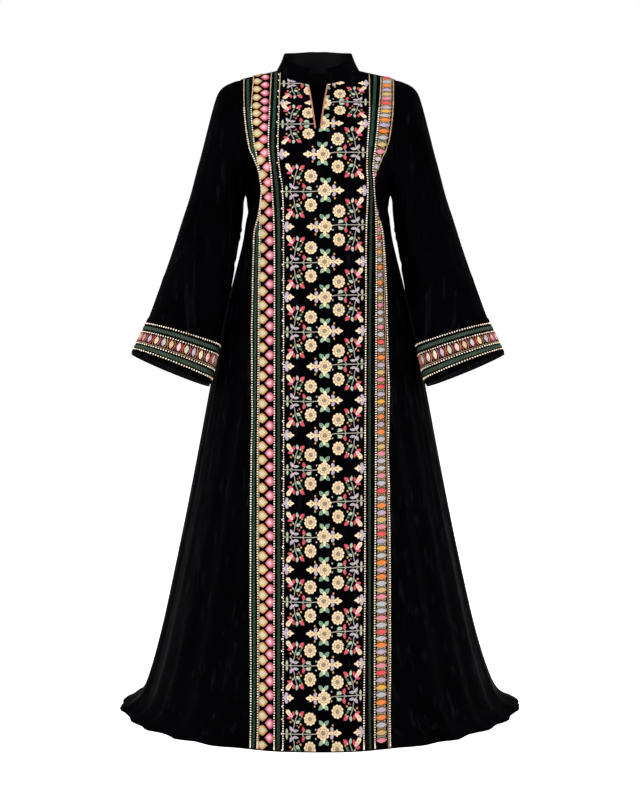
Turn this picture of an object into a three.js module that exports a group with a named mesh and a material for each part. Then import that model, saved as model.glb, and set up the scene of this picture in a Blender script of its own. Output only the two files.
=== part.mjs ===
// A floor-length jalabiya in black velvet, standing open as if it were worn: a front panel between two
// princess seams, two side fronts, a back, two set-in sleeves that widen to banded cuffs, and a stand
// collar that is open at the front over a short slit.
// Millimetres. +X is the viewer's right, the front faces -Y, +Z is up. The origin is between the
// shoulders at the height of the neck, where the wearer carries the garment.
import * as THREE from "three";

const { clamp, lerp, smoothstep, degToRad } = THREE.MathUtils;
const QUARTER = Math.PI / 2;

// ---- Driving dimensions ----
const CLOTH = 1.6; // velvet and its lining
const SEAM = 0.3; // gap between two sewn pieces
const COLLAR_CLOTH = 2.2; // the collar is folded double over its interfacing
const BAND_CLOTH = 1.2;
const PIPING_CLOTH = 1.4;
const PIPING_WIDTH = 3;
const PIPING_SHORT = 0.006; // the piping ends this far below the neck, in levels

const UNDERARM_DROP = 256;
const NECK = { side: 88, frontLevel: 0.56, backLevel: 0.745 }; // levels run from underarm 0 to shoulder 1
const SLIT = { half: 19, foot: 4.2, bottomLevel: 0.272 }; // the princess seams reach the armhole at its foot's level
const COLLAR = { front: 35, side: 31, back: 43.5, leanFront: 12, leanSide: 29, leanBack: 4, squareness: 0.35 };
const YOKE = { side: 180, fullAt: 0.4, rise: 2.6 }; // how the torso widens and rounds over to the shoulder
const CHEST = 2.3; // exponent of the chest's section; 2 is an ellipse
const HEM = 1.9; // exponent of the hem's section
const BUST = { side: 70, drop: 212, wide: 48, high: 72, depth: 13 };
const CUFF = { bandFrom: 91, bandTo: 5 }; // distances from the cuff's edge

// Sections of the body from the underarm to the hem: drop below the origin, half width, and depths.
const SECTIONS = columns("drop side front back", [
  [256, 152, 121, 100],
  [290, 150.5, 115, 97],
  [330, 156, 121, 103],
  [380, 168, 132, 114],
  [432, 181, 144, 128],
  [540, 207, 170, 156],
  [664, 230, 199, 187],
  [819, 259, 236, 225],
  [974, 290, 273, 262],
  [1129, 324, 311, 299],
  [1222, 347, 334, 322],
  [1283, 366, 350, 338],
  [1310, 378, 360, 348],
  [1331, 398, 373, 360],
  [1342, 424, 388, 374],
]);

// The shoulder's ridge: distance from the middle, and height.
const RIDGE = columns("side height", [
  [0, 34.2],
  [19, 33.5],
  [60, 24],
  [100, 14],
  [136, 6],
  [165, -2],
  [200, -19],
]);

// Half widths of the front panel at its two princess seams.
const PRINCESS = columns("drop left right", [
  [127, 156, 156],
  [157, 142, 142],
  [200, 125, 125],
  [239, 120, 118],
  [286, 125, 127],
  [327, 134, 136],
  [380, 137, 141.5],
  [465, 138, 144.5],
  [700, 138, 147],
  [1342, 138, 148],
]);

// The armhole's distance from the middle, from the shoulder down to the underarm.
const ARMHOLE = columns("drop side", [
  [2, 165],
  [40, 163],
  [77, 161],
  [120, 159.5],
  [160, 158],
  [202, 156],
  [235, 153.6],
  [256, 152],
]);

// Folds of the skirt: angle from the front, to the right; half width in degrees; depth at the hem;
// and how far down the skirt the fold begins, 0 at the underarm and 1 at the hem.
const FOLDS = columns("angle wide depth from", [
  [-13, 6, 3, 0.5],
  [-31, 4.5, 9, 0.22],
  [-43, 4.5, 12, 0.12],
  [-56, 4, 13, 0.1],
  [-66, 4, 10, 0.3],
  [-82, 6, 10, 0.16],
  [-97, 8, 9, 0.28],
  [-113, 6, 11, 0.14],
  [-129, 5, 12, 0.34],
  [-143, 5, 15, 0.2],
  [-160, 6, 13, 0.12],
  [-175, 4.5, 10, 0.36],
  [170, 5.5, 14, 0.18],
  [154, 5, 12, 0.3],
  [138, 5.5, 15, 0.12],
  [123, 4.5, 11, 0.38],
  [112, 5, 10, 0.2],
  [97, 9, 12, 0.26],
  [92, 15, 9, 0.78],
  [81, 6, 11, 0.18],
  [68, 4.5, 13, 0.1],
  [56, 4.5, 12, 0.12],
  [42, 4.5, 12, 0.16],
  [31, 4, 8, 0.3],
  [11, 6, 3, 0.55],
]);

// Sleeve rings from the armhole to the cuff: their outer and inner points, how far forward their
// centre lies, half their depth, and how far their front is tipped up.
const RINGS = columns("outerSide outerDrop innerSide innerDrop forward depth tip", [
  [165, 2, 152, 256, 0, 62, 0],
  [185, 9, 154, 258.5, 0, 63, 0],
  [201, 17.5, 155.5, 262, 0, 64, 0],
  [212, 30, 156.5, 266, 0, 65, 0],
  [219, 48, 157.5, 270, 0, 65.5, 0],
  [226.5, 74, 158, 276, 0, 66, 0],
  [235, 107, 158.5, 284, 1, 66, 0],
  [246, 150, 159.5, 294, 3, 65, 0.5],
  [259, 198, 161.5, 309, 7, 64, 1.5],
  [273, 250, 165.5, 330, 13, 62, 3],
  [290, 302, 171, 362, 21, 60, 4.5],
  [306.5, 355, 177.5, 403, 30, 58, 6],
  [323, 406, 185, 446, 40, 56, 7.5],
  [340, 455, 194, 494, 49, 55, 9],
  [357, 503, 204, 546, 58, 55, 10.5],
  [377, 549, 216, 601, 66, 56, 11.5],
  [393, 581.7, 228.3, 649.2, 73, 57.8, 12],
]);

// Folds of a sleeve: angle round the arm, 0 outside and 90 at the front; half width; depth; and the
// stretch of the sleeve that the fold runs along.
const SLEEVE_FOLDS = columns("angle wide depth from to", [
  [42, 15, 3.5, 0.05, 0.7],
  [78, 13, 4, 0.22, 0.98],
  [118, 13, 3.5, 0.12, 0.8],
  [152, 13, 4, 0.3, 1.15],
  [205, 14, 4, 0.25, 1.0],
  [248, 14, 3.5, 0.1, 0.75],
  [286, 14, 4, 0.3, 1.1],
  [328, 15, 3.5, 0.08, 0.7],
]);

// Numbers of cells along each piece.
const CELLS = {
  skirt: 20,
  halfFront: 9,
  neckOfFront: 5,
  sideFront: 11,
  halfBack: 16,
  neckOfBack: 8,
  yoke: 7,
  underSlit: 4,
  sleeve: 13,
  band: 2,
  collarHigh: 3,
  piping: 6,
};

// ---- Tables and curves ----
function columns(names, rows) {
  return Object.fromEntries(names.split(" ").map((name, i) => [name, rows.map((row) => row[i])]));
}

// A smooth curve through the values that are given at rising knots.
function through(knots, values) {
  const last = knots.length - 1;
  const slopes = knots.map((_, i) => {
    const before = Math.max(i - 1, 0);
    const after = Math.min(i + 1, last);
    return (values[after] - values[before]) / (knots[after] - knots[before]);
  });
  return (at) => {
    let i = 0;
    while (i < last - 1 && at > knots[i + 1]) i += 1;
    const span = knots[i + 1] - knots[i];
    const t = clamp((at - knots[i]) / span, 0, 1);
    const left = (1 + 2 * t) * (1 - t) ** 2 * values[i] + t * (1 - t) ** 2 * span * slopes[i];
    const right = t * t * (3 - 2 * t) * values[i + 1] - t * t * (1 - t) * span * slopes[i + 1];
    return left + right;
  };
}

// Distances along a row of points, from the first one.
function distances(xs, ys) {
  const out = [0];
  for (let i = 1; i < xs.length; i += 1) {
    out.push(out[i - 1] + Math.hypot(xs[i] - xs[i - 1], ys[i] - ys[i - 1]));
  }
  return out;
}

const alongSkirt = distances(SECTIONS.side, SECTIONS.drop);
const SKIRT = alongSkirt.at(-1);
const skirtDrop = through(alongSkirt, SECTIONS.drop);
const skirtSide = through(alongSkirt, SECTIONS.side);
const skirtFront = through(alongSkirt, SECTIONS.front);
const skirtBack = through(alongSkirt, SECTIONS.back);
const ridge = through(RIDGE.side, RIDGE.height);
const armholeSide = through(ARMHOLE.drop, ARMHOLE.side);
const princess = {
  left: through(PRINCESS.drop, PRINCESS.left),
  right: through(PRINCESS.drop, PRINCESS.right),
};

// ---- The body's surface ----
// theta runs round the body from the front, to the right. level runs from the hem, -1, past the
// underarm, 0, to the shoulder's ridge, 1.
function sectionAt(level) {
  if (level < 0) {
    const along = -level * SKIRT;
    return {
      side: skirtSide(along),
      front: skirtFront(along),
      back: skirtBack(along),
      power: lerp(CHEST, HEM, smoothstep(-level, 0, 0.4)),
      drop: skirtDrop(along),
      climb: 0,
      turn: 1,
    };
  }
  const angle = Math.min(level, 1) * QUARTER;
  const climb = Math.sin(angle) ** (2 / YOKE.rise);
  return {
    side: lerp(SECTIONS.side[0], YOKE.side, smoothstep(climb, 0, YOKE.fullAt)),
    front: SECTIONS.front[0],
    back: SECTIONS.back[0],
    power: CHEST,
    drop: UNDERARM_DROP,
    climb,
    turn: Math.cos(angle),
  };
}

// The mean height round a whole turn of a fold that is 1 high and this many degrees wide.
const meanOf = (wide) => (wide * Math.sqrt(Math.PI)) / 360;

function foldAt(theta, level) {
  if (level > 0) return 0;
  let out = 0;
  FOLDS.angle.forEach((angle, i) => {
    const away = Math.atan2(Math.sin(theta - degToRad(angle)), Math.cos(theta - degToRad(angle)));
    const share = away / degToRad(FOLDS.wide[i]);
    const grown = smoothstep(-level, FOLDS.from[i], 1.15) / smoothstep(1, FOLDS.from[i], 1.15);
    out += FOLDS.depth[i] * grown * (Math.exp(-share * share) - meanOf(FOLDS.wide[i]));
  });
  return out;
}

function bustAt(x, z, theta) {
  const across = (Math.abs(x) - BUST.side) / BUST.wide;
  const down = (z + BUST.drop) / BUST.high;
  return BUST.depth * Math.exp(-across * across - down * down) * smoothstep(Math.cos(theta), 0, 0.5);
}

function bodyPoint(theta, level) {
  const section = sectionAt(level);
  const sine = Math.sin(theta);
  const cosine = Math.cos(theta);
  const depth = cosine > 0 ? section.front : section.back;
  const power = 2 / section.power;
  const fold = foldAt(theta, level);
  const away = Math.hypot(sine * depth, cosine * section.side);
  const x = Math.sign(sine) * Math.abs(sine) ** power * section.side + (fold * sine * depth) / away;
  const out = Math.abs(cosine) ** power * depth * section.turn;
  const z = (ridge(Math.abs(x)) + UNDERARM_DROP) * section.climb - section.drop;
  const y = -Math.sign(cosine) * out - (fold * cosine * section.side) / away;
  return new THREE.Vector3(x, y - bustAt(x, z, theta) * section.turn, z);
}

// The angle at which the front half of a level is this far to the side.
function thetaOf(side, level) {
  const section = sectionAt(level);
  return Math.asin(clamp(Math.abs(side) / section.side, 0, 1) ** (section.power / 2)) * Math.sign(side);
}

// The drop of a level where it passes the armhole.
function dropOf(level) {
  const section = sectionAt(level);
  return section.drop - (ridge(ARMHOLE.side[0]) + UNDERARM_DROP) * section.climb;
}

const armholeTheta = (level) => thetaOf(Math.min(armholeSide(dropOf(level)), sectionAt(level).side), level);

// The edge of the front panel: the princess seam, and above it the armhole.
function frontEdge(hand, level) {
  if (level > SLIT.bottomLevel) return armholeTheta(level);
  return thetaOf(princess[hand](dropOf(level)), level);
}

// The neck's edge: angle 0 in the middle of the front, a quarter at the shoulder, a half at the back.
function neckAt(angle) {
  const centre = Math.cos(angle) > 0 ? NECK.frontLevel : NECK.backLevel;
  const level = 1 - (1 - centre) * Math.abs(Math.cos(angle));
  const theta = thetaOf(NECK.side * Math.abs(Math.sin(angle)), level);
  const turned = Math.cos(angle) > 0 ? theta : Math.PI - theta;
  return { theta: Math.sin(angle) < 0 ? -turned : turned, level };
}

// ---- The sleeve's surface ----
// round runs from the outside of the arm over the front; along runs from the armhole, 0, to the cuff, 1.
const ringMiddleSide = RINGS.outerSide.map((side, i) => (side + RINGS.innerSide[i]) / 2);
const ringMiddleDrop = RINGS.outerDrop.map((drop, i) => (drop + RINGS.innerDrop[i]) / 2);
const alongRings = distances(ringMiddleSide, ringMiddleDrop);
const SLEEVE = alongRings.at(-1);
const ringCurves = Object.fromEntries(
  Object.entries(RINGS).map(([name, values]) => [name, through(alongRings, values)]),
);

function ringPoint(round, distance) {
  const ring = Object.fromEntries(Object.entries(ringCurves).map(([name, curve]) => [name, curve(distance)]));
  const cosine = Math.cos(round);
  const sine = Math.sin(round);
  const tip = degToRad(ring.tip);
  return new THREE.Vector3(
    (ring.outerSide + ring.innerSide) / 2 + ((ring.outerSide - ring.innerSide) / 2) * cosine,
    -ring.forward - ring.depth * sine * Math.cos(tip),
    -(ring.outerDrop + ring.innerDrop) / 2 + ((ring.innerDrop - ring.outerDrop) / 2) * cosine
      + ring.depth * sine * Math.sin(tip),
  );
}

// The armhole as the sleeve meets it, a seam's gap outside the body's edge.
function armholePoint(round) {
  const turned = round > Math.PI ? 2 * Math.PI - round : round;
  const level = clamp(1 - turned / Math.PI, 0, 1);
  const theta = round > Math.PI ? Math.PI - armholeTheta(level) : armholeTheta(level);
  return bodyPoint(theta, level).add(new THREE.Vector3(SEAM, 0, 0));
}

const ARMHOLE_FADE = 150; // how far along the sleeve the armhole's shape is still felt

function sleevePoint(hand, round, along) {
  const turn = ((round % (2 * Math.PI)) + 2 * Math.PI) % (2 * Math.PI);
  const distance = along * SLEEVE;
  const point = ringPoint(turn, distance);
  const left = 1 - smoothstep(distance, 0, ARMHOLE_FADE);
  if (left > 0) point.addScaledVector(armholePoint(turn).sub(ringPoint(turn, 0)), left);
  const centre = ringPoint(0, distance).add(ringPoint(Math.PI, distance)).multiplyScalar(0.5);
  point.addScaledVector(point.clone().sub(centre).normalize(), sleeveFold(turn, along));
  return point.multiply(new THREE.Vector3(hand === "left" ? -1 : 1, 1, 1));
}

function sleeveFold(round, along) {
  let out = 0;
  SLEEVE_FOLDS.angle.forEach((angle, i) => {
    const away = Math.atan2(Math.sin(round - degToRad(angle)), Math.cos(round - degToRad(angle)));
    const share = away / degToRad(SLEEVE_FOLDS.wide[i]);
    const from = SLEEVE_FOLDS.from[i];
    const to = SLEEVE_FOLDS.to[i];
    const grown = smoothstep(along, from, from + 0.25) * (1 - smoothstep(along, to - 0.25, to));
    out += SLEEVE_FOLDS.depth[i] * grown * (Math.exp(-share * share) - meanOf(SLEEVE_FOLDS.wide[i]));
  });
  return out;
}

// ---- The collar's surface ----
// angle runs round the neck as neckAt does, and height from the seam, 0, to the top, 1.
function collarPoint(angle, height) {
  const step = 1e-3;
  const { theta, level } = neckAt(angle);
  const seam = bodyPoint(theta, level);
  const ahead = neckAt(angle + step);
  const along = bodyPoint(ahead.theta, ahead.level).sub(seam);
  const inward = new THREE.Vector3().crossVectors(normalOf(bodyPoint, theta, level), along).normalize();
  const front = clamp(Math.cos(angle), 0, 1);
  const back = clamp(-Math.cos(angle), 0, 1);
  const squared = back ** COLLAR.squareness;
  const tall = COLLAR.side + (COLLAR.front - COLLAR.side) * front + (COLLAR.back - COLLAR.side) * squared;
  const { leanSide, leanFront, leanBack } = COLLAR;
  const lean = degToRad(leanSide + (leanFront - leanSide) * front + (leanBack - leanSide) * back);
  const flat = new THREE.Vector3(inward.x, inward.y, 0).normalize();
  const rise = tall * height;
  return seam
    .addScaledVector(inward, SEAM + 0.1)
    .addScaledVector(flat, rise * Math.sin(lean))
    .add(new THREE.Vector3(0, 0, rise * Math.cos(lean)));
}

// ---- From a surface to a piece of cloth ----
function normalOf(surface, u, v) {
  const step = 2e-3;
  const across = surface(u + step, v).sub(surface(u - step, v));
  const up = surface(u, v + step).sub(surface(u, v - step));
  return across.cross(up).normalize();
}

// How far u has to move for the surface to move by a given distance.
function stepFor(surface, u, v, distance) {
  const trial = 1e-3 * Math.sign(distance);
  return (trial * Math.abs(distance)) / surface(u + trial, v).distanceTo(surface(u, v));
}

// A sheet is a list of places on a surface and the four-sided cells between them.
class Sheet {
  constructor() {
    this.places = [];
    this.cells = [];
  }

  row(places) {
    return places.map((place) => this.places.push(place) - 1);
  }

  // Cells between two rows of places.
  join(lower, upper) {
    for (let i = 0; i + 1 < lower.length; i += 1) {
      this.cells.push([lower[i], lower[i + 1], upper[i + 1], upper[i]]);
    }
  }

  rows(list) {
    const made = list.map((places) => this.row(places));
    for (let i = 0; i + 1 < made.length; i += 1) this.join(made[i], made[i + 1]);
    return made;
  }
}

// The closed wall of cloth on a sheet, raised off its surface by lift.
function wall(surface, sheet, { thick = CLOTH, lift = 0, mirrored = false } = {}) {
  const outside = mirrored ? -1 : 1;
  const count = sheet.places.length;
  const positions = new Float32Array(count * 6);
  sheet.places.forEach(([u, v], i) => {
    const point = surface(u, v);
    const normal = normalOf(surface, u, v).multiplyScalar(outside);
    point.clone().addScaledVector(normal, lift + (lift > 0 ? thick : 0)).toArray(positions, i * 3);
    point.addScaledVector(normal, lift > 0 ? lift : -thick).toArray(positions, (count + i) * 3);
  });
  const triangles = [];
  const edges = new Map();
  sheet.cells.forEach((corners) => {
    const cell = mirrored ? [...corners].reverse() : corners;
    const [a, b, c, d] = cell;
    triangles.push(a, b, c, a, c, d);
    triangles.push(count + a, count + c, count + b, count + a, count + d, count + c);
    cell.forEach((from, i) => {
      const to = cell[(i + 1) % 4];
      if (!edges.delete(`${to} ${from}`)) edges.set(`${from} ${to}`, [from, to]);
    });
  });
  edges.forEach(([from, to]) => {
    triangles.push(from, count + from, count + to, from, count + to, to);
  });
  const geometry = new THREE.BufferGeometry();
  geometry.setAttribute("position", new THREE.BufferAttribute(positions, 3));
  geometry.setIndex(triangles);
  geometry.computeVertexNormals();
  return geometry;
}

const steps = (count) => Array.from({ length: count + 1 }, (_, i) => i / count);

// ---- The pieces' sheets ----
const between = (count, from, to) => steps(count).map((t) => lerp(from, to, t));
const skirtLevels = between(CELLS.skirt, -1, 0);
const chestLevels = between(CELLS.underSlit, 0, SLIT.bottomLevel);
const seamLevels = [...skirtLevels, ...chestLevels.slice(1)];
// Heights of a yoke's rows; the first one lies close to its foot, so that the slit has a short flat end.
const yokeRises = [0.035, ...steps(CELLS.yoke).slice(1)];
const opposite = (places) => places.map(([theta, level]) => [-theta, level]).reverse();

// The level at which a front or back piece ends beside the shoulder seam.
function shoulderLevel(theta) {
  const section = sectionAt(1);
  const depth = Math.cos(theta) > 0 ? section.front : section.back;
  const out = Math.abs(Math.cos(theta)) ** (2 / section.power) * depth;
  return 1 - Math.asin(SEAM / 2 / out) / QUARTER;
}

// The right half of a yoke, as rows of places from the middle to the side's edge, above the level
// where it begins. Its top runs along the neck and then along the shoulder seam.
function halfYoke({ bottom, middle, edge, neckFrom, back, half, inNeck }) {
  const turned = (theta) => (back ? Math.PI - theta : theta);
  const neckTo = QUARTER + (back ? 1e-6 : -1e-6);
  const top = between(inNeck, neckFrom, neckTo).map((angle) => {
    const { theta, level } = neckAt(angle);
    return [theta, Math.min(level, shoulderLevel(theta))];
  });
  between(half - inNeck, NECK.side, ARMHOLE.side[0]).slice(1).forEach((side) => {
    const theta = turned(thetaOf(side, 1));
    top.push([theta, shoulderLevel(theta)]);
  });
  const start = top[0];
  const end = top[half];
  return yokeRises.map((rise) => top.map(([theta, level], i) => {
    const share = i / half;
    const inner = middle(lerp(bottom, start[1], rise));
    const outer = edge(lerp(bottom, end[1], rise));
    const bent = theta - lerp(start[0], end[0], share);
    return [lerp(inner, outer, share) + rise * bent, lerp(bottom, level, rise)];
  }));
}

const slitAngle = Math.asin(SLIT.half / NECK.side);
const slitTop = neckAt(slitAngle).level;

// The slit's edge at a level, from its narrow foot to its half width at the neck.
function slitTheta(level) {
  const share = clamp((level - SLIT.bottomLevel) / (slitTop - SLIT.bottomLevel), 0, 1);
  return thetaOf(lerp(SLIT.foot, SLIT.half, share), level);
}

function frontSheet() {
  const sheet = new Sheet();
  const edge = (hand) => (level) => {
    const theta = frontEdge(hand, level);
    return level > SLIT.bottomLevel ? theta : theta + stepFor(bodyPoint, theta, level, -SEAM / 2);
  };
  const made = sheet.rows(seamLevels.map((level) => [
    ...between(CELLS.halfFront, -edge("left")(level), 0).map((theta) => [theta, level]),
    ...between(CELLS.halfFront, 0, edge("right")(level)).slice(1).map((theta) => [theta, level]),
  ]));
  const yoke = {
    bottom: SLIT.bottomLevel,
    middle: slitTheta,
    neckFrom: slitAngle,
    back: false,
    half: CELLS.halfFront,
    inNeck: CELLS.neckOfFront,
  };
  const foot = made.at(-1);
  let lower = foot.slice(CELLS.halfFront);
  halfYoke({ ...yoke, edge: edge("right") }).forEach((places) => {
    const upper = sheet.row(places);
    sheet.join(lower, upper);
    lower = upper;
  });
  lower = foot.slice(0, CELLS.halfFront + 1);
  halfYoke({ ...yoke, edge: edge("left") }).forEach((places) => {
    const upper = sheet.row(opposite(places));
    sheet.join(lower, upper);
    lower = upper;
  });
  return sheet;
}

// The right side front; the left one is laid out the same way and its angles are turned round.
function sideFrontSheet(hand) {
  const sheet = new Sheet();
  const rows = seamLevels.map((level) => {
    const seam = frontEdge(hand, level);
    const from = seam + stepFor(bodyPoint, seam, level, SEAM / 2);
    const side = QUARTER + stepFor(bodyPoint, QUARTER, level, -SEAM / 2);
    const to = level > 0 ? armholeTheta(level) : side;
    return between(CELLS.sideFront, from, to).map((theta) => [theta, level]);
  });
  sheet.rows(hand === "left" ? rows.map(opposite) : rows);
  return sheet;
}

function backSheet() {
  const sheet = new Sheet();
  const side = (level) => (level > 0
    ? Math.PI - armholeTheta(level)
    : QUARTER + stepFor(bodyPoint, QUARTER, level, SEAM / 2));
  const rows = seamLevels.map((level) => between(CELLS.halfBack * 2, side(level), 2 * Math.PI - side(level))
    .map((theta) => [theta, level]));
  const yoke = halfYoke({
    bottom: SLIT.bottomLevel,
    middle: () => Math.PI,
    edge: side,
    neckFrom: Math.PI,
    back: true,
    half: CELLS.halfBack,
    inNeck: CELLS.neckOfBack,
  });
  yoke.forEach((places) => {
    const leftHalf = places.map(([theta, level]) => [2 * Math.PI - theta, level]);
    rows.push([...[...places].reverse(), ...leftHalf.slice(1)]);
  });
  sheet.rows(rows);
  return sheet;
}

// A ring of cloth round a sleeve; its columns start at the ends of the armhole's rows, and the last one
// meets the first.
function ringSheet(alongs) {
  const sheet = new Sheet();
  const levels = [...chestLevels, ...yokeRises.map((rise) => lerp(SLIT.bottomLevel, 1, rise))];
  const front = levels.map((level) => (1 - level) * Math.PI).reverse();
  const rounds = [...front, ...front.slice(1, -1).map((round) => 2 * Math.PI - round).reverse()];
  const made = alongs.map((along) => sheet.row(rounds.map((round) => [round, along])));
  made.forEach((row) => row.push(row[0]));
  for (let i = 0; i + 1 < made.length; i += 1) sheet.join(made[i], made[i + 1]);
  return sheet;
}

// Lengths of the sleeve's rows, closer together where its head turns over the shoulder, and with the
// rows of the band that lies on its end.
const bandAlongs = between(CELLS.band, 1 - CUFF.bandFrom / SLEEVE, 1 - CUFF.bandTo / SLEEVE);
const headTurn = 1.35;
const sleeveAlongs = [
  ...steps(CELLS.sleeve).map((t) => t ** headTurn * bandAlongs[0]),
  ...bandAlongs.slice(1),
  1,
];

const collarSheet = () => {
  const sheet = new Sheet();
  const front = between(CELLS.neckOfFront, slitAngle, QUARTER);
  const right = [...front, ...between(CELLS.neckOfBack, QUARTER, Math.PI).slice(1)];
  const angles = [...right, ...right.slice(0, -1).map((angle) => 2 * Math.PI - angle).reverse()];
  sheet.rows(steps(CELLS.collarHigh).map((height) => angles.map((angle) => [angle, height])));
  return sheet;
};

// A strip up one edge of the slit, on the front panel.
function pipingSheet(hand) {
  const sheet = new Sheet();
  const rows = between(CELLS.piping, SLIT.bottomLevel, slitTop - PIPING_SHORT).map((level) => {
    const theta = slitTheta(level);
    return [[theta, level], [theta + stepFor(bodyPoint, theta, level, PIPING_WIDTH), level]];
  });
  sheet.rows(hand === "left" ? rows.map(opposite) : rows);
  return sheet;
}

// ---- The garment ----
const VELVET = { color: 0x08070b, roughness: 0.85, metalness: 0 };
const BORDER = { color: 0x8a6f55, roughness: 0.7, metalness: 0 };
const PIPING = { color: 0xc98f72, roughness: 0.5, metalness: 0.1 };

const group = new THREE.Group();

function piece(name, geometry, look) {
  const mesh = new THREE.Mesh(geometry, new THREE.MeshStandardMaterial(look));
  mesh.name = name;
  group.add(mesh);
}

piece("front_panel", wall(bodyPoint, frontSheet()), VELVET);
piece("back_panel", wall(bodyPoint, backSheet()), VELVET);
for (const hand of ["left", "right"]) {
  const sleeve = (round, along) => sleevePoint(hand, round, along);
  const mirrored = hand === "left";
  piece(`side_front_${hand}`, wall(bodyPoint, sideFrontSheet(hand)), VELVET);
  piece(`sleeve_${hand}`, wall(sleeve, ringSheet(sleeveAlongs), { mirrored }), VELVET);
  const band = ringSheet(bandAlongs);
  piece(`cuff_band_${hand}`, wall(sleeve, band, { mirrored, thick: BAND_CLOTH, lift: SEAM }), BORDER);
}
piece("collar", wall(collarPoint, collarSheet(), { thick: COLLAR_CLOTH }), VELVET);
for (const hand of ["left", "right"]) {
  const strip = wall(bodyPoint, pipingSheet(hand), { thick: PIPING_CLOTH, lift: SEAM });
  piece(`slit_piping_${hand}`, strip, PIPING);
}

export default group;
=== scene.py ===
import math

import bpy
import numpy as np
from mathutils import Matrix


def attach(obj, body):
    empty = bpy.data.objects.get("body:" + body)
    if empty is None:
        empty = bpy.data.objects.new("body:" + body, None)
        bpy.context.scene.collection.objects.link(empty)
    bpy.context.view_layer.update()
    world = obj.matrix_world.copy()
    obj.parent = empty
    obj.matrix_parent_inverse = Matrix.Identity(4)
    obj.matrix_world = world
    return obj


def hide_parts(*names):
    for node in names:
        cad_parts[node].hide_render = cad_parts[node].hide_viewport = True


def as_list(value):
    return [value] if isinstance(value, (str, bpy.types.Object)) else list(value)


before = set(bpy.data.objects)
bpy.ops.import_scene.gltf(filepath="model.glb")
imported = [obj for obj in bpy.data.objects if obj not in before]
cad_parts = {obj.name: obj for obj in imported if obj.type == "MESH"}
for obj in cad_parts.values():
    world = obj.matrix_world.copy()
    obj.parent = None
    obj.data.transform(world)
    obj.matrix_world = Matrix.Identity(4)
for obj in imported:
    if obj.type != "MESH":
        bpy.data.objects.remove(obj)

MM = 0.001
QUARTER = math.pi / 2
TURN = 2 * math.pi
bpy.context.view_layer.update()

# ---- Sizes of the solids, in millimetres ----
CLOTH = 1.6
SEAM = 0.02  # the pieces meet here, where the solids leave about 0.3 between them
BAND_LIFT = 0.3
COLLAR_CLOTH = 2.2
BAND_CLOTH = 1.2
UNDERARM_DROP = 256
NECK_SIDE, NECK_FRONT, NECK_BACK = 88, 0.56, 0.745
SLIT_HALF, SLIT_FOOT, SLIT_BOTTOM = 19, 4.2, 0.272
PIPING_WIDTH, PIPING_SHORT = 3, 0.006
COLLAR_TALL = (35, 31, 43.5)  # front, side, back
COLLAR_LEAN = (12, 29, 4)
COLLAR_SQUARE, COLLAR_INSIDE, COLLAR_UNDER = 0.35, 0.1, 0.06
YOKE_SIDE, YOKE_FULL, YOKE_RISE = 180, 0.4, 2.6
CHEST, HEM = 2.3, 1.9
BUST_SIDE, BUST_DROP, BUST_WIDE, BUST_HIGH, BUST_DEPTH = 70, 212, 48, 72, 13
BAND_FROM, BAND_TO = 91, 5
ARMHOLE_FADE = 150
FOLD_END = 1.15  # past the hem, which is at 1, so that the folds still deepen there
PRINCESS_DIP, PRINCESS_HALF = 1.1, 2.6
FLANK_DIP, FLANK_HALF = 1.3, 3
ARMHOLE_DIP, ARMHOLE_HALF = 1.2, 3
UV_SIZE = (250, 1100)  # of a radian round the body, and of its length below the underarm


def columns(names, rows):
    return dict(zip(names.split(), np.array(rows, float).T))


SECTIONS = columns("drop side front back", [
    [256, 152, 121, 100], [290, 150.5, 115, 97], [330, 156, 121, 103], [380, 168, 132, 114],
    [432, 181, 144, 128], [540, 207, 170, 156], [664, 230, 199, 187], [819, 259, 236, 225],
    [974, 290, 273, 262], [1129, 324, 311, 299], [1222, 347, 334, 322], [1283, 366, 350, 338],
    [1310, 378, 360, 348], [1331, 398, 373, 360], [1342, 424, 388, 374],
])
RIDGE = columns("side height", [[0, 34.2], [19, 33.5], [60, 24], [100, 14], [136, 6], [165, -2], [200, -19]])
PRINCESS = columns("drop left right", [
    [127, 156, 156], [157, 142, 142], [200, 125, 125], [239, 120, 118], [286, 125, 127],
    [327, 134, 136], [380, 137, 141.5], [465, 138, 144.5], [700, 138, 147], [1342, 138, 148],
])
ARMHOLE = columns("drop side", [
    [2, 165], [40, 163], [77, 161], [120, 159.5], [160, 158], [202, 156], [235, 153.6], [256, 152],
])
FOLDS = columns("angle wide depth from", [
    [-13, 6, 3, 0.5], [-31, 4.5, 9, 0.22], [-43, 4.5, 12, 0.12], [-56, 4, 13, 0.1],
    [-66, 4, 10, 0.3], [-82, 6, 10, 0.16], [-97, 8, 9, 0.28], [-113, 6, 11, 0.14],
    [-129, 5, 12, 0.34], [-143, 5, 15, 0.2], [-160, 6, 13, 0.12], [-175, 4.5, 10, 0.36],
    [170, 5.5, 14, 0.18], [154, 5, 12, 0.3], [138, 5.5, 15, 0.12], [123, 4.5, 11, 0.38],
    [112, 5, 10, 0.2], [97, 9, 12, 0.26], [92, 15, 9, 0.78], [81, 6, 11, 0.18], [68, 4.5, 13, 0.1],
    [56, 4.5, 12, 0.12], [42, 4.5, 12, 0.16], [31, 4, 8, 0.3], [11, 6, 3, 0.55],
])
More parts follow.
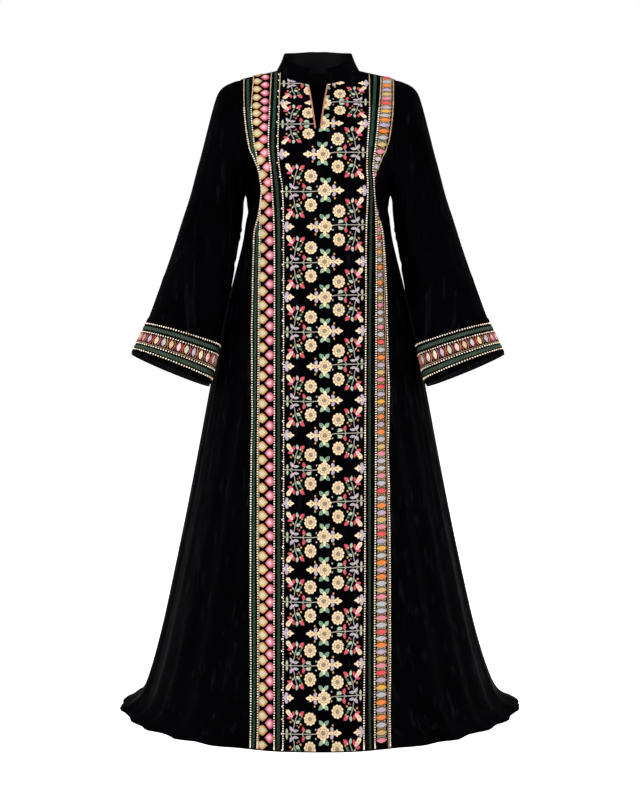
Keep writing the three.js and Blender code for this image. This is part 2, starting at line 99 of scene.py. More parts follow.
RINGS = columns("outerSide outerDrop innerSide innerDrop forward depth tip", [
    [165, 2, 152, 256, 0, 62, 0], [185, 9, 154, 258.5, 0, 63, 0], [201, 17.5, 155.5, 262, 0, 64, 0],
    [212, 30, 156.5, 266, 0, 65, 0], [219, 48, 157.5, 270, 0, 65.5, 0], [226.5, 74, 158, 276, 0, 66, 0],
    [235, 107, 158.5, 284, 1, 66, 0], [246, 150, 159.5, 294, 3, 65, 0.5], [259, 198, 161.5, 309, 7, 64, 1.5],
    [273, 250, 165.5, 330, 13, 62, 3], [290, 302, 171, 362, 21, 60, 4.5], [306.5, 355, 177.5, 403, 30, 58, 6],
    [323, 406, 185, 446, 40, 56, 7.5], [340, 455, 194, 494, 49, 55, 9], [357, 503, 204, 546, 58, 55, 10.5],
    [377, 549, 216, 601, 66, 56, 11.5], [393, 581.7, 228.3, 649.2, 73, 57.8, 12],
])
SLEEVE_FOLDS = columns("angle wide depth from to", [
    [42, 15, 3.5, 0.05, 0.7], [78, 13, 4, 0.22, 0.98], [118, 13, 3.5, 0.12, 0.8], [152, 13, 4, 0.3, 1.15],
    [205, 14, 4, 0.25, 1.0], [248, 14, 3.5, 0.1, 0.75], [286, 14, 4, 0.3, 1.1], [328, 15, 3.5, 0.08, 0.7],
])

# Creases of the body, finer than its folds. angle and wide are in degrees, from and to run from the
# shoulder, -1, past the underarm, 0, to the hem, 1, and lean is how far the angle drifts along a crease.
CREASES = columns("angle wide depth from to lean", [
    [-26, 1.5, 1.6, 0.45, 1.2, -1], [-35.5, 1.3, -2.4, 0.2, 1.2, -2], [-40.5, 1.2, 2.2, 0.05, 1.2, -3],
    [-46, 1.2, -2.6, 0.3, 1.2, -1], [-52, 1.3, 2.6, 0.12, 0.8, -2], [-59, 1.5, 3.0, 0.02, 1.2, -3],
    [-63, 1.2, -2.2, 0.1, 0.75, 0], [-70, 1.3, 2.6, -0.02, 0.62, -2], [-76, 1.4, -3.0, 0.25, 1.2, -2],
    [-86, 1.6, 2.6, 0.08, 0.9, -1], [-92, 1.4, -2.2, 0.3, 1.2, 1], [-103, 1.4, 2.4, 0.2, 1.2, 2],
    [-108, 1.4, -2.6, 0.05, 0.8, 1], [-118, 1.5, 3.0, 0.15, 1.2, 2], [-124, 1.3, -2.4, 0.4, 1.2, 1],
    [-135, 1.6, 3.2, 0.02, 1.2, 2], [-148, 1.3, -2.6, 0.1, 0.85, 1], [-154, 1.5, 2.4, 0.3, 1.2, 1],
    [-167, 1.3, -2.6, 0.15, 1.2, 1], [-178, 1.5, 2.4, 0.05, 0.7, 0],
    [26, 1.5, 1.4, 0.5, 1.2, 1], [36, 1.3, -2.4, 0.22, 1.2, 2], [39.5, 1.2, 2.4, 0.04, 1.2, 3],
    [47, 1.2, -2.6, 0.28, 1.2, 1], [53, 1.3, 2.4, 0.1, 0.85, 3], [61, 1.4, 2.8, 0.0, 1.2, 3],
    [65, 1.2, -2.4, 0.15, 0.8, 1], [74, 1.4, 2.8, 0.02, 0.7, 2], [78, 1.3, -2.8, 0.3, 1.2, 1],
    [88, 1.5, 2.6, 0.1, 1.2, 0], [99, 1.4, -2.2, 0.2, 0.9, -1], [104, 1.4, 2.6, 0.3, 1.2, -1],
    [116, 1.5, -2.8, 0.05, 1.2, -2], [128, 1.5, 3.0, 0.18, 1.2, -1], [133, 1.3, -2.4, 0.02, 0.7, -1],
    [146, 1.5, 2.8, 0.1, 1.2, -1], [160, 1.4, -2.6, 0.2, 1.2, -1], [164, 1.4, 2.6, 0.35, 1.2, 0],
])
# Soft drags over the torso: side, drop, half length, half width, depth, and slope of their line.
DRAGS = columns("side drop long wide depth slope", [
    [146, 240, 34, 5, 2.6, -0.9], [140, 262, 40, 6, -2.2, -1.6], [150, 300, 46, 6, 2.4, -3.2],
    [136, 330, 52, 6, 2.0, -4.5], [128, 128, 36, 6, 1.4, -2.6], [146, 170, 34, 5, 1.6, -2.0],
    [-146, 238, 36, 5, 2.6, 0.8], [-138, 266, 42, 6, -2.4, 1.5], [-150, 306, 50, 6, 2.6, 3.0],
    [-137, 338, 54, 6, 2.2, 4.2], [-130, 132, 38, 6, 1.4, 2.4], [-147, 176, 32, 5, 1.6, 2.2],
])
# Creases of a sleeve, with the same columns as the body's; from and to run from the armhole to the cuff.
SLEEVE_CREASES = columns("angle wide depth from to lean", [
    [28, 4, 1.6, 0.04, 0.45, 12], [55, 4.5, -1.6, 0.1, 0.5, 10], [66, 4, 2.2, 0.15, 0.75, -14],
    [92, 4.5, 1.8, 0.28, 0.7, 18], [104, 4, -1.8, 0.05, 0.55, 8], [131, 5, 2.4, 0.1, 0.62, -16],
    [143, 4.5, -2.0, 0.32, 0.85, 10], [166, 5, 2.6, 0.05, 0.5, -12], [188, 5, 2.2, 0.2, 0.8, 10],
    [222, 4.5, -2.0, 0.08, 0.7, 12], [236, 4, 2.2, 0.3, 0.9, -10], [262, 4.5, 2.0, 0.06, 0.6, 14],
    [275, 4, -1.8, 0.35, 0.85, -8], [301, 4.5, 2.0, 0.12, 0.7, 10], [342, 5, 1.6, 0.08, 0.5, -8],
])
# Slanting bends of a sleeve: angle, along, half turn in degrees, half width, depth, and slope.
BENDS = columns("angle along turn wide depth slope", [
    [70, 0.36, 42, 0.014, 2.4, 0.0016], [150, 0.42, 46, 0.016, 3.0, -0.0014],
    [110, 0.5, 40, 0.013, 2.0, 0.0018], [200, 0.33, 40, 0.016, 2.6, 0.0012],
    [175, 0.52, 42, 0.014, -2.4, -0.0012], [250, 0.45, 44, 0.015, 2.4, 0.0014],
    [40, 0.6, 36, 0.013, 1.6, -0.0016], [120, 0.68, 34, 0.013, 1.8, 0.0016],
    [300, 0.56, 40, 0.014, 2.0, -0.0014],
])


# ---- Tables and curves ----
def smooth(x, low, high):
    t = np.clip((x - low) / (high - low), 0, 1)
    return t * t * (3 - 2 * t)


def lerp(a, b, t):
    return a + (b - a) * t


def through(knots, values):
    knots, values = np.asarray(knots, float), np.asarray(values, float)
    last = len(knots) - 1
    i = np.arange(last + 1)
    before, after = np.maximum(i - 1, 0), np.minimum(i + 1, last)
    slopes = (values[after] - values[before]) / (knots[after] - knots[before])

    def curve(at):
        at = np.asarray(at, float)
        k = np.clip(np.searchsorted(knots, at, side="left") - 1, 0, last - 1)
        span = knots[k + 1] - knots[k]
        t = np.clip((at - knots[k]) / span, 0, 1)
        left = (1 + 2 * t) * (1 - t) ** 2 * values[k] + t * (1 - t) ** 2 * span * slopes[k]
        right = t * t * (3 - 2 * t) * values[k + 1] - t * t * (1 - t) * span * slopes[k + 1]
        return left + right

    return curve


def distances(*rows):
    return np.concatenate([[0], np.cumsum(np.sqrt(sum(np.diff(row) ** 2 for row in rows)))])


along_skirt = distances(SECTIONS["side"], SECTIONS["drop"])
SKIRT = along_skirt[-1]
skirt = {name: through(along_skirt, values) for name, values in SECTIONS.items()}
ridge = through(RIDGE["side"], RIDGE["height"])
armhole_side = through(ARMHOLE["drop"], ARMHOLE["side"])
princess = {hand: through(PRINCESS["drop"], PRINCESS[hand]) for hand in ("left", "right")}
fine_along = np.linspace(0, SKIRT, 1200)
fine_drop = skirt["drop"](fine_along)


# ---- The body's surface ----
def section_at(level):
    """The body's section at a level: -1 at the hem, 0 at the underarm and 1 at the shoulder."""
    level = np.asarray(level, float)
    below = level < 0
    along = np.clip(-level, 0, None) * SKIRT
    angle = np.clip(level, 0, 1) * QUARTER
    climb = np.sin(angle) ** (2 / YOKE_RISE)
    yoke_side = lerp(SECTIONS["side"][0], YOKE_SIDE, smooth(climb, 0, YOKE_FULL))
    return {
        "side": np.where(below, skirt["side"](along), yoke_side),
        "front": np.where(below, skirt["front"](along), SECTIONS["front"][0]),
        "back": np.where(below, skirt["back"](along), SECTIONS["back"][0]),
        "power": np.where(below, lerp(CHEST, HEM, smooth(-level, 0, 0.4)), CHEST),
        "drop": np.where(below, skirt["drop"](along), UNDERARM_DROP),
        "climb": np.where(below, 0, climb),
        "turn": np.where(below, 1, np.cos(angle)),
    }


def wrapped(angle):
    return np.arctan2(np.sin(angle), np.cos(angle))


def mean_of(wide):
    """The mean depth, all round, of a fold that is 1 deep and so many degrees wide."""
    return wide * math.sqrt(math.pi) / 360


def fold_at(theta, level):
    out = np.zeros(np.broadcast(theta, level).shape)
    for angle, wide, depth, start in zip(*FOLDS.values()):
        share = wrapped(theta - math.radians(angle)) / math.radians(wide)
        grown = smooth(-level, start, FOLD_END) / smooth(1, start, FOLD_END)
        out += depth * grown * (np.exp(-share * share) - mean_of(wide))
    return np.where(np.asarray(level) > 0, 0, out)


def creases_at(table, turned, along):
    out = np.zeros(np.broadcast(turned, along).shape)
    for angle, wide, depth, start, end, lean in zip(*table.values()):
        share = wrapped(turned - np.radians(angle + lean * (along - start))) / math.radians(wide)
        span = end - start
        grown = smooth(along, start, start + 0.3 * span) * (1 - smooth(along, end - 0.3 * span, end))
        out += depth * grown * np.exp(-share * share)
    return out


def drags_at(x, z, ahead):
    out = np.zeros(np.broadcast(x, z).shape)
    for side, drop, long, wide, depth, slope in zip(*DRAGS.values()):
        along_x, along_z = 1 / math.hypot(1, slope), slope / math.hypot(1, slope)
        dx, dz = x - side, z + drop
        lengthwise = (dx * along_x + dz * along_z) / long
        across = (dx * along_z - dz * along_x) / wide
        out += depth * np.exp(-lengthwise**2 - across**2)
    return out * ahead


def bust_at(x, z, theta):
    across = (np.abs(x) - BUST_SIDE) / BUST_WIDE
    down = (z + BUST_DROP) / BUST_HIGH
    return BUST_DEPTH * np.exp(-across**2 - down**2) * smooth(np.cos(theta), 0, 0.5)


def body_point(theta, level, detail=True):
    theta, level = np.broadcast_arrays(np.asarray(theta, float), np.asarray(level, float))
    s = section_at(level)
    sine, cosine = np.sin(theta), np.cos(theta)
    depth = np.where(cosine > 0, s["front"], s["back"])
    power = 2 / s["power"]
    side = np.sign(sine) * np.abs(sine) ** power * s["side"]
    out = np.abs(cosine) ** power * depth * s["turn"]
    z = (ridge(np.abs(side)) + UNDERARM_DROP) * s["climb"] - s["drop"]
    fold = fold_at(theta, level)
    if detail:
        reach = smooth(level, 0.95, 0.5)
        fold = fold + creases_at(CREASES, theta, -level) * smooth(-level, -0.15, 0.05)
        fold = fold + drags_at(side, z, smooth(cosine, -0.3, 0.2)) * reach
        fold = fold - seam_dip(side, theta, level, s)
    away = np.hypot(sine * depth, cosine * s["side"])
    x = side + fold * sine * depth / away
    y = -np.sign(cosine) * out - fold * cosine * s["side"] / away - bust_at(x, z, theta) * s["turn"]
    return np.stack([x, y, z], -1)


def princess_at(side, drop):
    """How far from the middle a princess seam runs, on the given side."""
    return np.where(side < 0, princess["left"](drop), princess["right"](drop))


def seam_dip(side, theta, level, s):
    """How far the cloth dips into the princess and side seams."""
    from_princess = np.abs(side) - princess_at(side, drop_of(level))
    from_flank = wrapped(np.abs(theta) - QUARTER) * s["front"]
    near = np.exp(-((from_princess / PRINCESS_HALF) ** 2)) * (np.cos(theta) > 0) * (level < SLIT_BOTTOM)
    flank = np.exp(-((from_flank / FLANK_HALF) ** 2)) * (level < 0)
    return PRINCESS_DIP * near + FLANK_DIP * flank


def theta_of(side, level):
    s = section_at(level)
    return np.arcsin(np.clip(np.abs(side) / s["side"], 0, 1) ** (s["power"] / 2)) * np.sign(side)


def drop_of(level):
    s = section_at(level)
    return s["drop"] - (ridge(ARMHOLE["side"][0]) + UNDERARM_DROP) * s["climb"]


def armhole_theta(level):
    return theta_of(np.minimum(armhole_side(drop_of(level)), section_at(level)["side"]), level)


def front_edge(hand, level):
    seam = theta_of(princess[hand](drop_of(level)), level)
    return np.where(np.asarray(level) > SLIT_BOTTOM, armhole_theta(level), seam)


def neck_at(angle):
    cosine, sine = np.cos(angle), np.sin(angle)
    centre = np.where(cosine > 0, NECK_FRONT, NECK_BACK)
    level = 1 - (1 - centre) * np.abs(cosine)
    theta = theta_of(NECK_SIDE * np.abs(sine), level)
    turned = np.where(cosine > 0, theta, math.pi - theta)
    return np.where(sine < 0, -turned, turned), level


# ---- The sleeve's surface ----
along_rings = distances(*((RINGS["outer" + way] + RINGS["inner" + way]) / 2 for way in ("Side", "Drop")))
SLEEVE = along_rings[-1]
ring_curves = {name: through(along_rings, values) for name, values in RINGS.items()}


def ring_point(turned, distance):
    r = {name: curve(distance) for name, curve in ring_curves.items()}
    cosine, sine, tip = np.cos(turned), np.sin(turned), np.radians(r["tip"])
    return np.stack([
        (r["outerSide"] + r["innerSide"]) / 2 + (r["outerSide"] - r["innerSide"]) / 2 * cosine,
        -r["forward"] - r["depth"] * sine * np.cos(tip),
        -(r["outerDrop"] + r["innerDrop"]) / 2 + (r["innerDrop"] - r["outerDrop"]) / 2 * cosine
        + r["depth"] * sine * np.sin(tip),
    ], -1)


def armhole_point(turned):
    half = np.where(turned > math.pi, TURN - turned, turned)
    level = np.clip(1 - half / math.pi, 0, 1)
    theta = np.where(turned > math.pi, math.pi - armhole_theta(level), armhole_theta(level))
    return body_point(theta, level, detail=False) + np.array([SEAM, 0, 0])


def sleeve_point(turned, along, detail=True):
    turned, along = np.broadcast_arrays(np.asarray(turned, float) % TURN, np.asarray(along, float))
    distance = along * SLEEVE
    point = ring_point(turned, distance)
    left = (1 - smooth(distance, 0, ARMHOLE_FADE))[..., None]
    point = point + (armhole_point(turned) - ring_point(turned, 0 * distance)) * left
    centre = (ring_point(0 * turned, distance) + ring_point(0 * turned + math.pi, distance)) / 2
    out = point - centre
    out = out / np.linalg.norm(out, axis=-1, keepdims=True)
    fold = np.zeros(turned.shape)
    for angle, wide, depth, start, end in zip(*SLEEVE_FOLDS.values()):
        share = wrapped(turned - math.radians(angle)) / math.radians(wide)
        grown = smooth(along, start, start + 0.25) * (1 - smooth(along, end - 0.25, end))
        fold = fold + depth * grown * (np.exp(-share * share) - mean_of(wide))
    if detail:
        calm = smooth(along, 0, 0.08) * (1 - smooth(along, 0.84, 0.9))
        fold = fold + creases_at(SLEEVE_CREASES, turned, along) * calm
        for angle, at, spread, wide, depth, slope in zip(*BENDS.values()):
            share = np.degrees(wrapped(turned - math.radians(angle)))
            across = (along - at - slope * share) / wide
            fold = fold + depth * calm * np.exp(-((share / spread) ** 2) - across**2)
        fold = fold - ARMHOLE_DIP * np.exp(-((distance / ARMHOLE_HALF) ** 2))
    return point + out * fold[..., None]


def left_sleeve(turned, along):
    return sleeve_point(turned, along) * np.array([-1, 1, 1])


# ---- The collar's surface ----
def plain_body(theta, level):
    return body_point(theta, level, detail=False)


def collar_point(angle, height):
    angle, height = np.broadcast_arrays(np.asarray(angle, float), np.asarray(height, float))
    theta, level = neck_at(angle)
    seam = plain_body(theta, level)
    ahead = plain_body(*neck_at(angle + 1e-3))
    inward = np.cross(normal_of(plain_body, theta, level), ahead - seam)
    inward /= np.linalg.norm(inward, axis=-1, keepdims=True)
    front = np.clip(np.cos(angle), 0, 1)
    back = np.clip(-np.cos(angle), 0, 1)

    def mixed(sizes, behind):
        return sizes[1] + (sizes[0] - sizes[1]) * front + (sizes[2] - sizes[1]) * behind

    lean = np.radians(mixed(COLLAR_LEAN, back))
    flat = inward * np.array([1, 1, 0])
    flat /= np.linalg.norm(flat, axis=-1, keepdims=True)
    rise = mixed(COLLAR_TALL, back**COLLAR_SQUARE) * height
    up = np.stack([0 * rise, 0 * rise, rise * np.cos(lean)], -1)
    return seam + inward * (SEAM + COLLAR_INSIDE) + flat * (rise * np.sin(lean))[..., None] + up


def normal_of(surface, u, v):
    step = 2e-3
    across = surface(u + step, v) - surface(u - step, v)
    up = surface(u, v + step) - surface(u, v - step)
    normal = np.cross(across, up)
    return normal / np.linalg.norm(normal, axis=-1, keepdims=True)


def step_for(theta, level, distance):
    """The change of theta that moves a point so many millimetres along its section."""
    trial = 1e-3 * np.sign(distance)
    moved = plain_body(theta + trial, level) - plain_body(theta, level)
    return trial * abs(distance) / np.linalg.norm(moved, axis=-1)


# ---- Sheets of cloth ----
class Sheet:
    """Rows of places on a surface and the cells between them."""

    def __init__(self):
        self.places = []
        self.cells = []
        self.count = 0

    def row(self, places):
        self.places.append(places)
        self.count += len(places)
        return np.arange(self.count - len(places), self.count)

    def join(self, lower, upper):
        self.cells.append(np.stack([lower[:-1], lower[1:], upper[1:], upper[:-1]], 1))

    def rows(self, many):
        made = [self.row(places) for places in many]
        for lower, upper in zip(made, made[1:]):
            self.join(lower, upper)
        return made


def pairs(thetas, levels):
    return np.stack(np.broadcast_arrays(thetas, levels), -1).astype(float)


def eased(count, ease=0.35):
    """Shares from 0 to 1, closer together at both ends."""
    t = np.linspace(0, 1, count + 1)
    return t - ease * np.sin(TURN * t) / TURN


def between(count, start, end):
    return start + (end - start) * np.linspace(0, 1, count + 1)


HALF_FRONT, NECK_OF_FRONT, SIDE_FRONT, HALF_BACK, NECK_OF_BACK, YOKE_ROWS = 32, 18, 40, 56, 28, 40
skirt_levels = between(230, -1, 0)
chest_levels = between(24, 0, SLIT_BOTTOM)
seam_levels = np.concatenate([skirt_levels, chest_levels[1:]])
slit_angle = math.asin(SLIT_HALF / NECK_SIDE)
slit_top = float(neck_at(np.array(slit_angle))[1])


def shoulder_level(theta):
    s = section_at(np.array(1.0))
    depth = np.where(np.cos(theta) > 0, s["front"], s["back"])
    out = np.abs(np.cos(theta)) ** (2 / s["power"]) * depth
    return 1 - np.arcsin(np.clip(SEAM / 2 / out, 0, 1)) / QUARTER


def slit_theta(level):
    share = np.clip((level - SLIT_BOTTOM) / (slit_top - SLIT_BOTTOM), 0, 1)
    return theta_of(lerp(SLIT_FOOT, SLIT_HALF, share), level)


def half_yoke(middle, edge, neck_from, back, half, in_neck):
    """The rows of half a panel, from the slit's foot up to the neck and the shoulder seam."""
    theta, level = neck_at(between(in_neck, neck_from, QUARTER + (1e-6 if back else -1e-6)))
    neck = pairs(theta, np.minimum(level, shoulder_level(theta)))
    sides = between(half - in_neck, NECK_SIDE, ARMHOLE["side"][0])[1:]
    theta = theta_of(sides, np.ones(len(sides)))
    theta = math.pi - theta if back else theta
    top = np.concatenate([neck, pairs(theta, shoulder_level(theta))])
    share = np.linspace(0, 1, half + 1)
    rows = []
    for rise in np.linspace(0, 1, YOKE_ROWS + 1)[1:]:
        inner = middle(np.array(lerp(SLIT_BOTTOM, top[0, 1], rise)))
        outer = edge(np.array(lerp(SLIT_BOTTOM, top[-1, 1], rise)))
        bent = top[:, 0] - lerp(top[0, 0], top[-1, 0], share)
        rows.append(pairs(lerp(inner, outer, share) + rise * bent, lerp(SLIT_BOTTOM, top[:, 1], rise)))
    return rows


def opposite(places):
    return (places * np.array([-1, 1]))[::-1]


def front_sheet():
    sheet = Sheet()

    def edge(hand):
        def at(level):
            theta = front_edge(hand, level)
            return np.where(level > SLIT_BOTTOM, theta, theta + step_for(theta, level, -SEAM / 2))
        return at

    t = np.linspace(0, 1, HALF_FRONT + 1)
    rows = []
    for level in seam_levels:
        right, left = edge("right")(level) * t, edge("left")(level) * t
        rows.append(pairs(np.concatenate([-left[::-1], right[1:]]), level))
    foot = sheet.rows(rows)[-1]
    for hand, lower in (("right", foot[HALF_FRONT:]), ("left", foot[: HALF_FRONT + 1])):
        for places in half_yoke(slit_theta, edge(hand), slit_angle, False, HALF_FRONT, NECK_OF_FRONT):
            upper = sheet.row(places if hand == "right" else opposite(places))
            sheet.join(lower, upper)
            lower = upper
    return sheet


def side_front_sheet(hand):
    sheet = Sheet()
    rows = []
    for level in seam_levels:
        seam = front_edge(hand, level)
        start = seam + step_for(seam, level, SEAM / 2)
        end = armhole_theta(level) if level > 0 else QUARTER + step_for(QUARTER, level, -SEAM / 2)
        places = pairs(lerp(start, end, eased(SIDE_FRONT)), level)
        rows.append(opposite(places) if hand == "left" else places)
    sheet.rows(rows)
    return sheet


def back_sheet():
    sheet = Sheet()

    def side(level):
        flank = QUARTER + step_for(QUARTER, level, SEAM / 2)
        return np.where(level > 0, math.pi - armhole_theta(level), flank)

    rows = []
    for level in seam_levels:
        start = side(level)
        rows.append(pairs(lerp(start, TURN - start, np.linspace(0, 1, 2 * HALF_BACK + 1)), level))
    for places in half_yoke(lambda level: math.pi, side, math.pi, True, HALF_BACK, NECK_OF_BACK):
        other = places * np.array([-1, 1]) + np.array([TURN, 0])
        rows.append(np.concatenate([places[::-1], other[1:]]))
    sheet.rows(rows)
    return sheet


def ring_sheet(alongs, count=112):
    sheet = Sheet()
    rounds = (np.arange(count) + 0.5) / count * TURN
    made = [sheet.row(pairs(rounds, along)) for along in alongs]
    made = [np.append(row, row[0]) for row in made]
    for lower, upper in zip(made, made[1:]):
        sheet.join(lower, upper)
    return sheet


def collar_sheet():
    sheet = Sheet()
    angles = between(150, slit_angle, TURN - slit_angle)
    sheet.rows([pairs(angles, height) for height in [-COLLAR_UNDER, *eased(14)]])
    return sheet


# ---- Meshes ----
def new_object(name, points, faces, materials, slots, uvs=None):
    mesh = bpy.data.meshes.new(name)
    mesh.from_pydata((points * MM).tolist(), [], faces)
    for material in materials:
        mesh.materials.append(material)
    mesh.polygons.foreach_set("material_index", np.asarray(slots, dtype=np.int32))
    mesh.polygons.foreach_set("use_smooth", np.ones(len(faces), dtype=bool))
    if uvs is not None:
        layer = mesh.uv_layers.new(name="UVMap")
        corners = np.empty(len(mesh.loops), dtype=np.int32)
        mesh.loops.foreach_get("vertex_index", corners)
        layer.data.foreach_set("uv", (uvs[corners] * MM).ravel())
    mesh.update()
    obj = bpy.data.objects.new(name, mesh)
    bpy.context.scene.collection.objects.link(obj)
    return obj


def borders(cells):
    """The sides of the cells that only one cell has, in the direction that the cell takes them."""
    sides = np.concatenate([cells[:, [i, (i + 1) % 4]] for i in range(4)])
    keys = np.sort(sides, 1)
    _, first, uses = np.unique(keys, axis=0, return_index=True, return_counts=True)
    return sides[first[uses == 1]]


def cloth(name, surface, sheet, outside, inside, thick=CLOTH, lift=0.0, mirrored=False):
    """A closed wall of cloth on a sheet: its outside, its lining and its turned edges."""
    places = np.concatenate(sheet.places)
    cells = np.concatenate(sheet.cells)
    if mirrored:
        cells = cells[:, ::-1]
    point = surface(places[:, 0], places[:, 1])
    normal = normal_of(surface, places[:, 0], places[:, 1]) * (-1 if mirrored else 1)
    outer = point + normal * (lift + thick if lift else 0)
    inner = point + normal * (lift if lift else -thick)
    count = len(point)
    rim = borders(cells)
    walls = np.stack([rim[:, 0], rim[:, 0] + count, rim[:, 1] + count, rim[:, 1]], 1)
    faces = np.concatenate([cells, cells[:, ::-1] + count, walls])
    slots = np.concatenate([np.zeros(len(cells)), np.ones(len(cells)), np.zeros(len(walls))])
    uvs = np.concatenate([places * np.array(UV_SIZE)] * 2)
    obj = new_object(name, np.concatenate([outer, inner]), faces.tolist(), [outside, inside], slots, uvs)
    mesh = obj.data
    ends = np.empty(len(mesh.edges) * 2, dtype=np.int64)
    mesh.edges.foreach_get("vertices", ends)
    ends = np.sort(ends.reshape(-1, 2), 1)
    sharp = np.concatenate([np.sort(rim, 1), np.sort(rim + count, 1)])
    total = 2 * count
    marked = np.isin(ends[:, 0] * total + ends[:, 1], sharp[:, 0] * total + sharp[:, 1])
    mesh.attributes.new("sharp_edge", "BOOLEAN", "EDGE").data.foreach_set("value", marked)
    return obj


# ---- Materials ----
class Look:
    """A material and the nodes of its shader."""

    def __init__(self, name, **settings):
        self.material = bpy.data.materials.new(name)
        self.material.use_nodes = True
        self.tree = self.material.node_tree
        self.shader = self.tree.nodes["Principled BSDF"]
        for label, value in settings.items():
            self.shader.inputs[label.replace("_", " ")].default_value = value
        self.coordinates = self.tree.nodes.new("ShaderNodeTexCoord")

    def feed(self, socket, value):
        if isinstance(value, bpy.types.NodeSocket):
            self.tree.links.new(value, socket)
        else:
            socket.default_value = value

    def node(self, kind, inputs=None, **settings):
        made = self.tree.nodes.new("ShaderNode" + kind)
        for label, value in settings.items():
            setattr(made, label, value)
        for label, value in (inputs or {}).items():
            self.feed(made.inputs[label], value)
        return made

    def stretched(self, where, **settings):
        """The coordinates, turned or scaled."""
        return self.node("Mapping", {"Vector": self.coordinates.outputs[where], **settings}).outputs["Vector"]

    def noise(self, scale, detail=2.0, rough=0.5, distortion=0.0, vector=None):
        made = self.node("TexNoise", {
            "Vector": vector or self.coordinates.outputs["Object"], "Scale": scale, "Detail": detail,
            "Roughness": rough, "Distortion": distortion,
        })
        return made.outputs["Fac"]

    def waves(self, period, turn=0.0, distortion=0.0):
        """Bands across X of the UV map, a period in millimetres apart."""
        made = self.node("TexWave", {
            "Vector": self.stretched("UV", Rotation=(0, 0, turn)), "Scale": TURN / 20 / (period * MM),
            "Distortion": distortion, "Detail": 2.0, "Detail Scale": 1.5,
        })
        return made.outputs["Fac"]

    def mix(self, share, low, high):
        made = self.node("Mix", data_type="RGBA")
        for index, value in ((0, share), (6, low), (7, high)):
            self.feed(made.inputs[index], value)
        return made.outputs[2]

    def maths(self, operation, *values):
        made = self.node("Math", operation=operation)
        for socket, value in zip(made.inputs, values):
            self.feed(socket, value)
        return made.outputs[0]

    def sum_of(self, one, other, share=1.0, first=1.0):
        """Two patterns, each by its share."""
        return self.maths("ADD", self.maths("MULTIPLY", one, first), self.maths("MULTIPLY", other, share))

    def ramp(self, value, low, high):
        made = self.node("MapRange", {"Value": value, "From Min": low, "From Max": high})
        return made.outputs["Result"]

    def colour(self, value):
        self.tree.links.new(value, self.shader.inputs["Base Color"])

    def rough(self, value):
        self.tree.links.new(value, self.shader.inputs["Roughness"])

    def bump(self, height, strength, depth, under=None):
        made = self.node("Bump", {"Height": height, "Strength": strength, "Distance": depth * MM})
        if under is not None:
            self.tree.links.new(under, made.inputs["Normal"])
        self.tree.links.new(made.outputs["Normal"], self.shader.inputs["Normal"])
        return made.outputs["Normal"]


def rgb(red, green, blue):
    return (red, green, blue, 1.0)


def velvet_look(name, low, high, painted_sheen):
    look = Look(name, Roughness=0.85, Specular_IOR_Level=0.004, Sheen_Weight=0.075, Sheen_Roughness=0.08,
                Sheen_Tint=rgb(0.44, 0.38, 0.7))
    nap = look.ramp(look.noise(9, 3, 0.6, 0.6), 0.35, 0.68)
    pile = look.noise(1700, 2)
    tufts = look.noise(420, 3)
    # Long streaks up the cloth that mix the colour towards a lighter violet: painted sheen, light caught on
    # the pile.
    painted_sheen_streaks = look.noise(75, 3.0, 0.55, vector=look.stretched("Object", Scale=(1, 1, 0.035)))
    brushed = look.sum_of(nap, tufts, 0.35, 0.75)
    look.colour(look.mix(look.ramp(painted_sheen_streaks, 0.58, 0.78), look.mix(brushed, low, high), painted_sheen))
    soft = look.bump(tufts, 0.25, 0.6)
    look.bump(pile, 0.5, 0.35, soft)
    look.rough(look.ramp(look.noise(30, 2), -1.0, 1.6))
    return look.material


def satin_look(name, low, high):
    look = Look(name, Roughness=0.5, Specular_IOR_Level=0.05)
    weave = look.waves(0.5, 0.0, 0.3)
    cross = look.waves(0.35, QUARTER, 0.3)
    cloud = look.ramp(look.noise(16, 3), 0.3, 0.7)
    look.colour(look.mix(cloud, low, high))
    under = look.bump(look.noise(26, 2), 0.3, 1.2)
    look.bump(look.sum_of(weave, cross, 0.6), 0.2, 0.12, under)
    return look.material


def thread_look(name, main, shade):
    look = Look(name, Roughness=0.42, Specular_IOR_Level=0.22, Sheen_Weight=0.04, Sheen_Roughness=0.4)
    strands = look.waves(0.55, 0.0, 0.8)
    drift = look.ramp(look.noise(90, 2), 0.3, 0.75)
    # The colour goes towards shade in the grooves between the strands, where the bump sinks: painted shade.
    # The drift noise also moves it between main and shade at random.
    look.colour(look.mix(look.sum_of(look.maths("SUBTRACT", 1.0, strands), drift, 0.4, 0.45), main, shade))
    look.rough(look.ramp(look.noise(300, 2), -1.2, 2.0))
    look.bump(strands, 0.55, 0.3)
    return look.material


def ribbon_look(name, main, shade, turn=0.75):
    look = Look(name, Roughness=0.6, Specular_IOR_Level=0.06)
    twill = look.ramp(look.waves(4.6, turn, 0.6), 0.2, 0.75)
    cross = look.waves(1.1, -0.5, 0.3)
    cloud = look.ramp(look.noise(45, 3), 0.3, 0.7)
    # The colour goes to main, the darker tone, in the twill's grooves and to the lighter second tone on its
    # ridges, where the bump rises: painted shade and painted light of the weave, mixed with a random cloud of
    # tone.
    look.colour(look.mix(look.sum_of(twill, cloud, 0.28, 0.72), main, shade))
    look.bump(look.sum_of(twill, cross, 0.5), 0.5, 0.35)
    return look.material


def bead_look(name, low, high):
    look = Look(name, Roughness=0.24, Specular_IOR_Level=0.6, Metallic=0.15, Coat_Weight=0.3,
                Coat_Roughness=0.1)
    cell = look.node("VectorMath", {
        "Vector": look.coordinates.outputs["Object"], 1: (0.0045, 0.0045, 0.0045),
    }, operation="SNAP").outputs["Vector"]
    each = look.node("TexWhiteNoise", {"Vector": cell}).outputs["Value"]
    look.colour(look.mix(look.maths("MULTIPLY", each, 0.9), high, low))
    look.bump(look.noise(900, 2), 0.2, 0.2)
    return look.material
